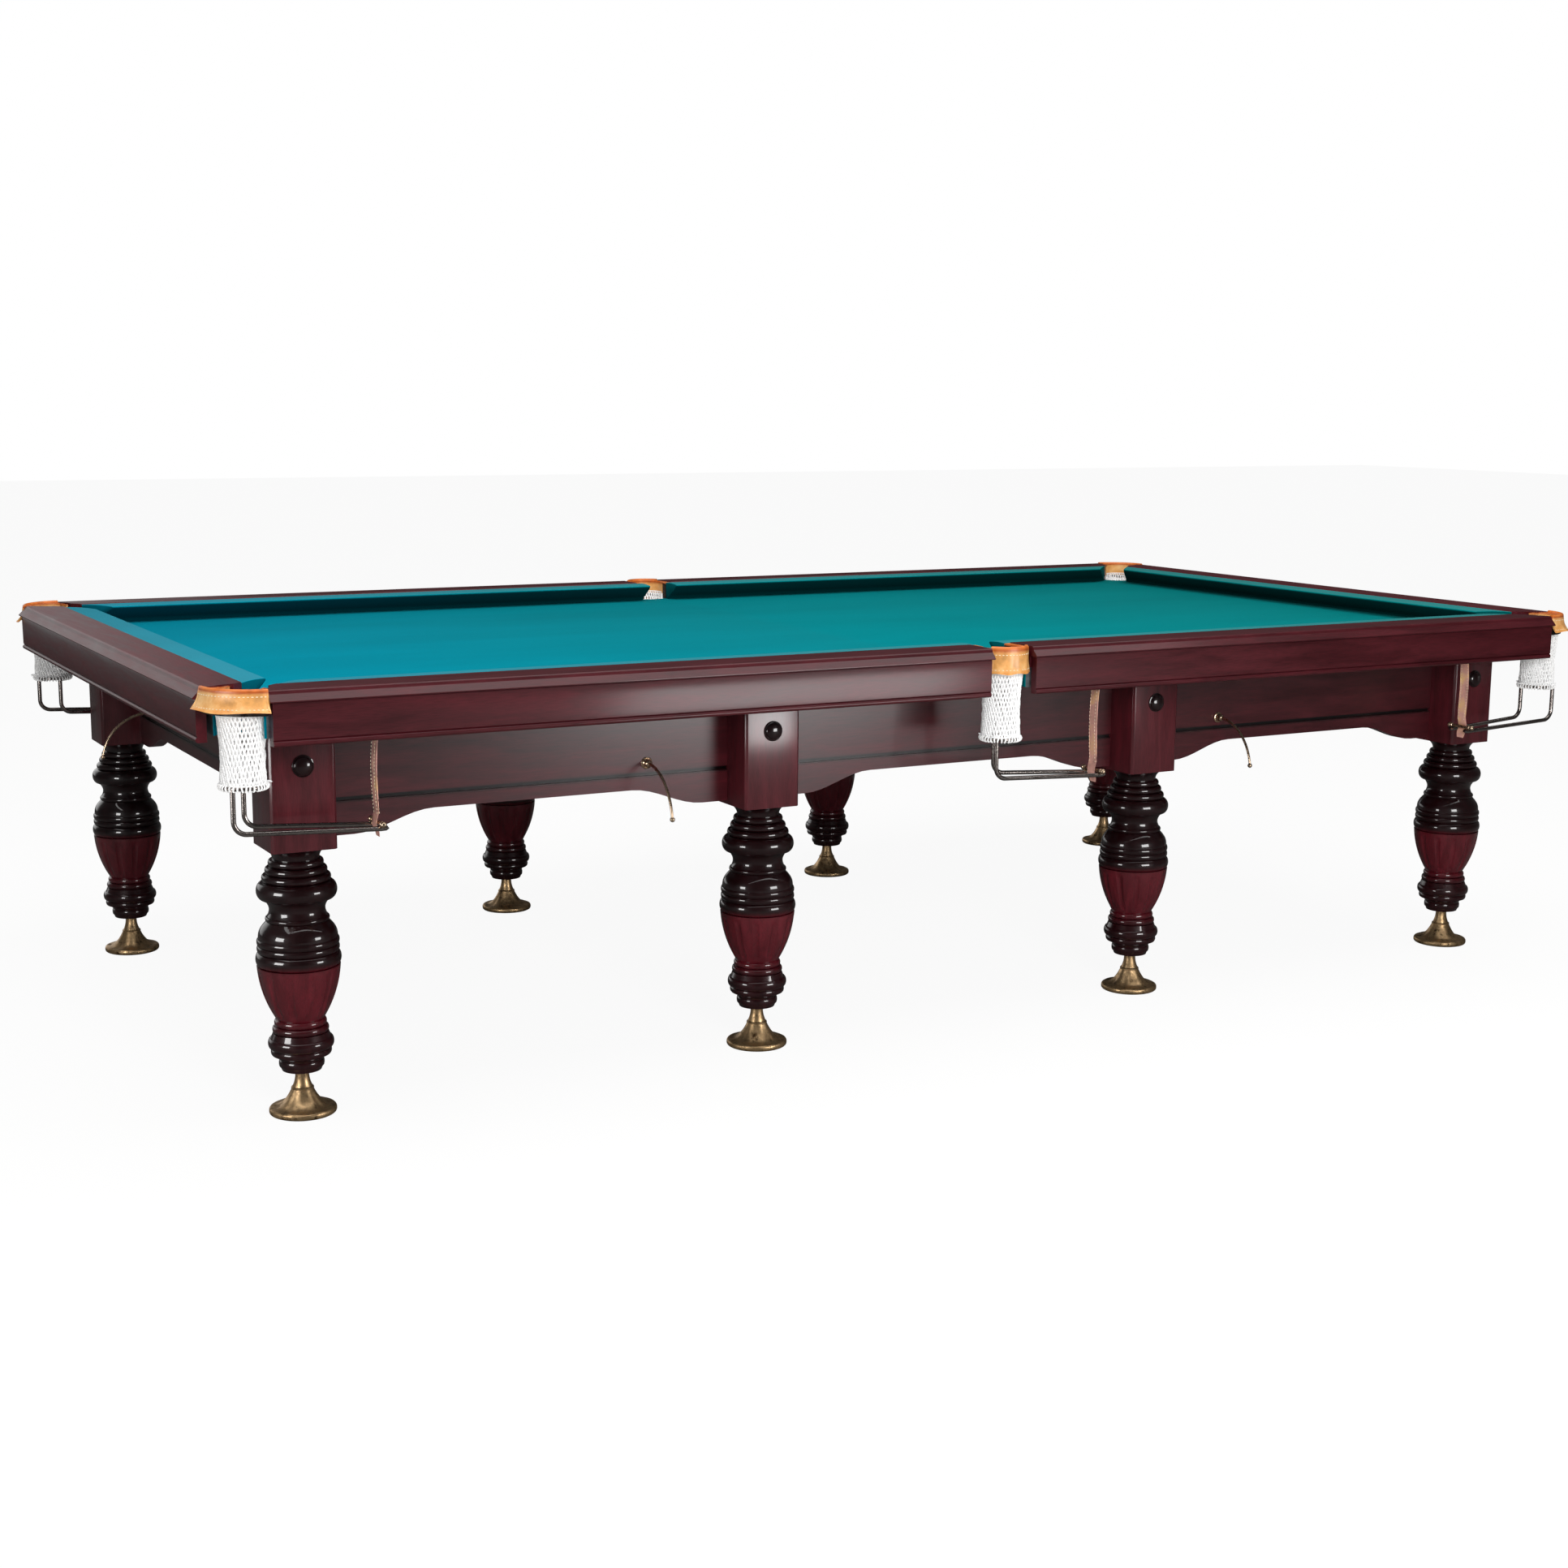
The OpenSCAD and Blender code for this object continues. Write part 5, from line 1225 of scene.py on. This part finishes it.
class BILLIARD_OT_runners(bpy.types.Operator):
    """Bend the rings and rods that carry the balls"""
    bl_idname = "billiard.runners"
    bl_label = "Ball runners"

    def execute(self, context):
        s, n = context.scene.billiard_sizes, context.scene.billiard_nets
        rings, rods = [], []
        for _, sx, sy in POCKETS:
            turn = runner_place(s, n, sx, sy)
            rings.append(([turn @ around(n.ring_r, math.tau * i / 48) for i in range(48)], n.wire_r, True))
            rods += self.rods(n, turn)
        for name, routes in (("net_rings", rings), ("ball_runners", rods)):
            mesh = to_mesh(tubes(routes, 12), name, 50)
            place(mesh, "bent_" + name, finish("runner"), "runner_steel", [name])
        return {"FINISHED"}

    @staticmethod
    def rods(n, turn):
        """Routes of the two rods of a runner, moved by turn."""
        routes = []
        for leaves_at, side in ((76, 1), (-135, -1)):
            start = around(n.ring_r, math.radians(leaves_at))
            way = Vector((n.run_l + BEYOND, side * SPREAD, 0)) - start
            far = way.length
            way.normalize()
            slope = math.atan(RUN_FALL / (far - BEND))
            # Down from the ring, round the bend, along the fall and a little up at the stop
            points = [(0.0, -n.wire_r * 0.4), (0.0, -0.02), (0.0, -0.04)]
            points += arc(BEND, BEND * math.cos(slope) - RUN_DROP, BEND, 180, 270 - math.degrees(slope), 12)
            points += [(far * t, -RUN_DROP - (far * t - BEND) * math.tan(slope))
                       for t in (0.4, 0.6, 0.8, 0.96)]
            foot = points[-1][1]
            points += [(far * 0.985, foot + 0.0002), (far, foot + 0.0030)]
            routes.append(([turn @ (start + way * x + UP * z) for x, z in points], n.rod_r, False))
        return routes


class BILLIARD_OT_straps(bpy.types.Operator):
    """Hang the leather straps with their brass cross bars"""
    bl_idname = "billiard.straps"
    bl_label = "Straps and bars"

    def execute(self, context):
        s, n = context.scene.billiard_sizes, context.scene.billiard_nets
        # The bar lies on the rods, which have fallen by this much where they pass under it
        fall = RUN_FALL * n.run_l / (n.run_l + BEYOND)
        bar = -RUN_DROP - fall + n.rod_r + BAR_R + SEAT
        leather, brass, sewn = bmesh.new(), bmesh.new(), []
        for _, sx, sy in POCKETS:
            turn = runner_place(s, n, sx, sy)
            self.strap(leather, sewn, n, turn, slate_foot(s) + 0.001 - turn.translation.z - 0.0004, bar)
            self.bar(brass, turn @ Matrix.Translation((n.run_l, 0, bar)))
        closed(leather)
        closed(brass)
        straps, bars = to_mesh(leather, "straps", 45), to_mesh(brass, "bars", 45)
        place(straps, "sewn_runner_straps", finish("strap"), "tan_leather", ["runner_straps"])
        place(pebbles("strap_stitches", sewn), "stitches_runner_straps", finish("thread"), "net_cord")
        place(bars, "turned_strap_bars", finish("brass"), "polished_brass", ["strap_bars"])
        return {"FINISHED"}

    @staticmethod
    def strap(leather, sewn, n, turn, top, bar):
        """A strap from its tab under the slate, round the bar and down to its tail. top and bar are heights
        over the ring."""
        def bow(t):
            return 0.0008 - 0.0052 * math.sin(math.pi * t) ** 0.9 * (1 - 0.3 * t)

        count, head, foot = 10, top - 0.0075, bar + 0.011
        route = [(0.028, top - 0.002), (0.02, top - 0.002), (0.01, top - 0.0022), (0.004, top - 0.0036)]
        route.append((0.0008, head))
        route += [(bow(i / count), head + (foot - head) * i / count) for i in range(1, count)]
        route += [(-0.0052, bar + 0.007), (-0.0066, bar), (-0.0055, bar - 0.006), (-0.0018, bar - 0.0115),
                  (-0.0006, bar - 0.018), (0.0006, bar - 0.0252)]
        last = len(route) - 1
        taper = {last - 1: 0.94, last: 0.8}
        lone = bmesh.new()
        bmesh.ops.create_grid(lone, x_segments=last, y_segments=4, size=1.0)
        for v in lone.verts:
            i = round((v.co.x + 1) / 2 * last)
            x, z = route[i]
            v.co = (n.run_l + x, v.co.y * taper.get(i, 1.0) * (n.strap_w / 2 - 0.0004), z)
        bmesh.ops.solidify(lone, geom=lone.faces[:], thickness=0.0036)
        closed(lone)
        soften(lone, sharp_edges(lone, 60), 0.0008, 2)
        absorb(leather, lone, turn)
        # A row of stitches along each edge, on both faces
        count, head, foot = 22, top - 0.012, bar + 0.016
        for side in SIDES:
            for t in ((i + 0.5) / count for i in range(count)):
                for face in (0.0004, -0.0038):
                    at = (n.run_l + bow(t) + face, side * (n.strap_w / 2 - 0.004), head + (foot - head) * t)
                    sewn.append(turn @ Matrix.Translation(at) @ Matrix.Diagonal((0.0006, 0.0006, 0.0024, 1.0)))

    @staticmethod
    def bar(brass, turn):
        """A turned cross bar with a ball and a collar at each end."""
        reach, ball = 0.0365, 0.0064
        half = [(0.0, reach + 0.0062)] + arc(0.0, reach, ball, 78, -48, 12)
        half += [(0.0046, reach - 0.0062), (0.0054, reach - 0.0068), (0.0054, reach - 0.0084),
                 (BAR_R, reach - 0.0092)]
        lone = turned(half + [(r, -z) for r, z in half[::-1]], 24)
        absorb(brass, lone, turn @ Matrix.Rotation(math.pi / 2, 4, "X"))


class BILLIARD_OT_hardware(bpy.types.Operator):
    """Make the domed bolt covers and the brass rest hooks"""
    bl_idname = "billiard.hardware"
    bl_label = "Covers and hooks"
    # Place in plan and turn in degrees of each rest hook
    HOOKS = ((-0.777, -0.723, 0), (0.777, -0.723, 0), (-1.531, 0.48, -90))

    def execute(self, context):
        legs, s = context.scene.billiard_legs, context.scene.billiard_sizes
        covers, hooks = bmesh.new(), bmesh.new()
        dome = [(0, 0), (22, 0), (22, 2), (21.4, 3), (20, 3.4), (19.4, 3.0)]
        dome += [(19.2 * across, 3 + 9 * up) for across, up in arc(0, 0, 1, 0, 90, 10)]
        for _, _, leg in leg_spots(legs):
            side = math.copysign(1, leg.y)
            at = Matrix.Translation((leg.x, leg.y + side * legs.block_w / 2, slate_foot(s) - BOLT_DROP))
            absorb(covers, turned(in_metres(dome), 48), at @ Matrix.Rotation(-side * math.pi / 2, 4, "X"))
        for x, y, turn in self.HOOKS:
            at = Matrix.Translation((x, y, slate_foot(s) - HOOK_DROP))
            self.hook(hooks, at @ Matrix.Rotation(math.radians(turn), 4, "Z"))
        covers, hooks = to_mesh(covers, "covers", 30), to_mesh(hooks, "hooks", 35)
        place(covers, "turned_bolt_covers", finish("mahogany_z"), "mahogany", ["bolt_covers"])
        place(hooks, "bent_rest_hooks", finish("brass"), "polished_brass", ["rest_hooks"])
        return {"FINISHED"}

    @staticmethod
    def hook(hooks, at):
        """A hook with its rosette against a face that looks towards -Y, and a ball at its tip."""
        rosette = [(0, 0), (13, 0), (13, 1.2), (12, 2.2), (10.5, 2.6), (9.6, 2.2), (8.8, 3.4)]
        rosette += arc(0, 9, 8.7, -30, 84, 14) + [(0, 17.7)]
        absorb(hooks, turned(in_metres(rosette), 40), at @ Matrix.Rotation(math.pi / 2, 4, "X"))
        points = [at @ Vector((0, y, z)) for y, z in arc(-0.009, -0.118, 0.118, 90, 172, 24)]
        absorb(hooks, tubes([(points, [0.0036 - 0.0008 * i / 24 for i in range(25)], False)], 12))
        tip = 0.0055
        absorb(hooks, turned([(0, -tip)] + arc(0, 0, tip, -80, 80, 10) + [(0, tip)], 20),
               Matrix.Translation(points[-1]))


class BILLIARD_OT_fascias(bpy.types.Operator):
    """Mould the six fascia boards, with a bead along the foot and an eased head"""
    bl_idname = "billiard.fascias"
    bl_label = "Fascias"

    def execute(self, context):
        for name in ("front_left", "front_right", "back_left", "back_right", "left_end", "right_end"):
            low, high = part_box("fascia_" + name)
            at_end = name.endswith("end")
            run, across, axis, wood = (1, 0, "Y", "mahogany_y") if at_end else (0, 1, "X", "mahogany_x")
            side = math.copysign(1, low[across])
            back, out = sorted((abs(low[across]), abs(high[across])))
            foot, head, r = low[2], high[2], 0.0055
            section = [(back, foot), (out - 0.006, foot)] + arc(out - r, foot + r, r, -90, 80, 8)
            section += [(out - 0.0036, foot + 0.0122), (out - 0.0022, foot + 0.0132),
                        (out - 0.0014, head - 0.004), (out - 0.003, head), (back, head)]
            bm = bmesh.new()
            bar_of(bm, [(side * u, z) for u, z in section], axis, low[run], high[run])
            closed(bm)
            mesh = to_mesh(bm, name, 30)
            place(mesh, "moulded_fascia_" + name, finish(wood), "mahogany", ["fascia_" + name])
        return {"FINISHED"}


# Carried-over nodes

class BILLIARD_OT_frame_finishes(bpy.types.Operator):
    """Give the frame's own rails, aprons, beams, slabs, irons and bolts their finishes"""
    bl_idname = "billiard.frame_finishes"
    bl_label = "Frame finishes"
    # Start of a node's name and its finish, of which the first that fits holds
    KEYS = (("rail_left_end", "mahogany_y"), ("rail_right_end", "mahogany_y"), ("apron_left_end", "apron_y"),
            ("apron_right_end", "apron_y"), ("rail_bolts", "bolt"), ("block_bolts", "bolt"),
            ("rail_", "mahogany_x"), ("apron_", "apron_x"), ("long_beams", "beam"), ("cross_beams", "beam"),
            ("slates", "slate"), ("pocket_irons", "iron"))

    def execute(self, context):
        for name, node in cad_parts.items():
            key = next((k for start, k in self.KEYS if name.startswith(start)), None)
            if key is None:
                continue
            node.data.materials.clear()
            node.data.materials.append(finish(key))
        return {"FINISHED"}


# Stage

class BILLIARD_OT_stage(bpy.types.Operator):
    """Lay the floor and set the lamps, the sky and the camera"""
    bl_idname = "billiard.stage"
    bl_label = "Stage"
    # Name, place, aim, size, power and what sees each lamp: a broad one over the table, a soft one beside
    # the camera, and two boxes that only the lacquer and the metal mirror, for two highlights on each bead
    LAMPS = (("overhead", (-0.4, -0.7, 3.9), (-0.4, 0.0, 0.8), (6.4, 3.2), 178.0, "all"),
             ("key", (-1.4, -5.2, 2.4), (0.1, -0.4, 0.5), (1.8, 1.6), 150.0, "diffuse"),
             ("left_box", (-3.45, -1.42, 0.78), (-0.9, -0.7, 0.5), (0.9, 0.76), 30.4, "glossy"),
             ("right_box", (0.63, -3.1, 0.78), (-0.1, -0.7, 0.5), (1.1, 0.76), 36.0, "glossy"))

    def execute(self, context):
        scene = context.scene
        self.camera(scene, scene.billiard_stage)
        self.floor(scene)
        self.lamps(scene)
        self.sky(scene)
        scene.view_settings.view_transform = "Standard"
        return {"FINISHED"}

    @staticmethod
    def camera(scene, stage):
        """The camera that took the photograph, with a sensor 36 mm wide."""
        sensor, pixels = 36.0, 1932
        data = bpy.data.cameras.new("photo_camera")
        data.sensor_width = sensor
        data.lens = stage.focal_px / pixels * sensor
        data.clip_end = 60.0
        cam = bpy.data.objects.new("photo_camera", data)
        scene.collection.objects.link(cam)
        yaw, pitch, roll = stage.heading, stage.pitch, stage.roll
        ahead = Vector((math.sin(yaw) * math.cos(pitch), math.cos(yaw) * math.cos(pitch), -math.sin(pitch)))
        right = Vector((math.cos(yaw), -math.sin(yaw), 0))
        up = right.cross(ahead)
        x = right * math.cos(roll) + up * math.sin(roll)
        y = up * math.cos(roll) - right * math.sin(roll)
        turn = Matrix((x, y, -ahead)).transposed().to_4x4()
        cam.matrix_world = Matrix.Translation(stage.camera_at) @ turn
        scene.camera = cam

    @staticmethod
    def floor(scene):
        """A floor 60 m wide."""
        bm = bmesh.new()
        bmesh.ops.create_grid(bm, x_segments=8, y_segments=8, size=30.0)
        mesh = bpy.data.meshes.new("floor")
        bm.to_mesh(mesh)
        bm.free()
        floor = bpy.data.objects.new("floor", mesh)
        scene.collection.objects.link(floor)
        mesh.materials.append(finish("floor"))

    def lamps(self, scene):
        """Hangs the lamps."""
        for name, at, aim, size, power, seen_by in self.LAMPS:
            data = bpy.data.lights.new(name, "AREA")
            data.shape = "RECTANGLE"
            data.size, data.size_y = size
            data.energy = power
            lamp = bpy.data.objects.new(name, data)
            scene.collection.objects.link(lamp)
            lamp.location = at
            lamp.rotation_mode = "QUATERNION"
            lamp.rotation_quaternion = (Vector(aim) - Vector(at)).to_track_quat("-Z", "Y")
            lamp.visible_camera = False
            lamp.visible_diffuse = seen_by in ("all", "diffuse")
            lamp.visible_glossy = seen_by in ("all", "glossy")

    @staticmethod
    def sky(scene):
        """White for the camera, a dark room with one pale side for mirrors, and a soft fill for the rest."""
        world = bpy.data.worlds.new("studio")
        scene.world = world
        world.use_nodes = True
        tree = world.node_tree
        back = tree.nodes["Background"]
        back.inputs["Color"].default_value = (1, 1, 1, 1)
        rays = add_node(tree, "ShaderNodeLightPath").outputs
        toward = add_node(tree, "ShaderNodeTexCoord").outputs["Generated"]
        # The pale side lies 12 degrees left of +Y and a little above the floor
        pale = Vector((math.sin(math.radians(-12)), math.cos(math.radians(-12)), 0.14)).normalized()
        facing = add_node(tree, "ShaderNodeVectorMath", {"operation": "DOT_PRODUCT", 1: pale}, {0: toward})
        mirror = add_node(tree, "ShaderNodeMapRange", {LOW: 0.883, HIGH: 0.96, TO_LOW: 0.05, TO_HIGH: 1.0},
                          {VALUE: facing.outputs["Value"]})
        seen = add_node(tree, "ShaderNodeMath", {"operation": "MAXIMUM"},
                        {0: rays["Is Glossy Ray"], 1: rays["Is Transmission Ray"]})
        fill = add_node(tree, "ShaderNodeMix", {"data_type": "FLOAT", 2: 0.34}, {SHARE: seen, 3: mirror})
        level = add_node(tree, "ShaderNodeMix", {"data_type": "FLOAT", 3: 1.0},
                         {SHARE: rays["Is Camera Ray"], 2: fill})
        link_into(tree, back, {"Strength": level})


class BILLIARD_PT_panel(bpy.types.Panel):
    """Lists the table's pieces"""
    bl_idname = "BILLIARD_PT_panel"
    bl_label = "Russian billiards table"
    bl_space_type = "VIEW_3D"
    bl_region_type = "UI"
    bl_category = "Billiards"

    def draw(self, context):
        column = self.layout.column()
        for group in GROUPS:
            settings = getattr(context.scene, group)
            for key in settings.__annotations__:
                column.prop(settings, key)
        for maker in MAKERS:
            column.operator(maker.bl_idname)


MAKERS = (BILLIARD_OT_stage, BILLIARD_OT_frame_finishes, BILLIARD_OT_legs, BILLIARD_OT_feet,
          BILLIARD_OT_cushions, BILLIARD_OT_bed_cloth, BILLIARD_OT_fascias, BILLIARD_OT_leathers,
          BILLIARD_OT_nets, BILLIARD_OT_runners, BILLIARD_OT_straps, BILLIARD_OT_hardware)
CLASSES = (*GROUPS.values(), *MAKERS, BILLIARD_PT_panel)


def register():
    for cls in CLASSES:
        bpy.utils.register_class(cls)
    for name, group in GROUPS.items():
        setattr(bpy.types.Scene, name, bpy.props.PointerProperty(type=group))


def unregister():
    for name in GROUPS:
        delattr(bpy.types.Scene, name)
    for cls in reversed(CLASSES):
        bpy.utils.unregister_class(cls)


def main():
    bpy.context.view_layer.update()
    register()
    for maker in MAKERS:
        group, call = maker.bl_idname.split(".")
        getattr(getattr(bpy.ops, group), call)()


if __name__ == "__main__":
    main()
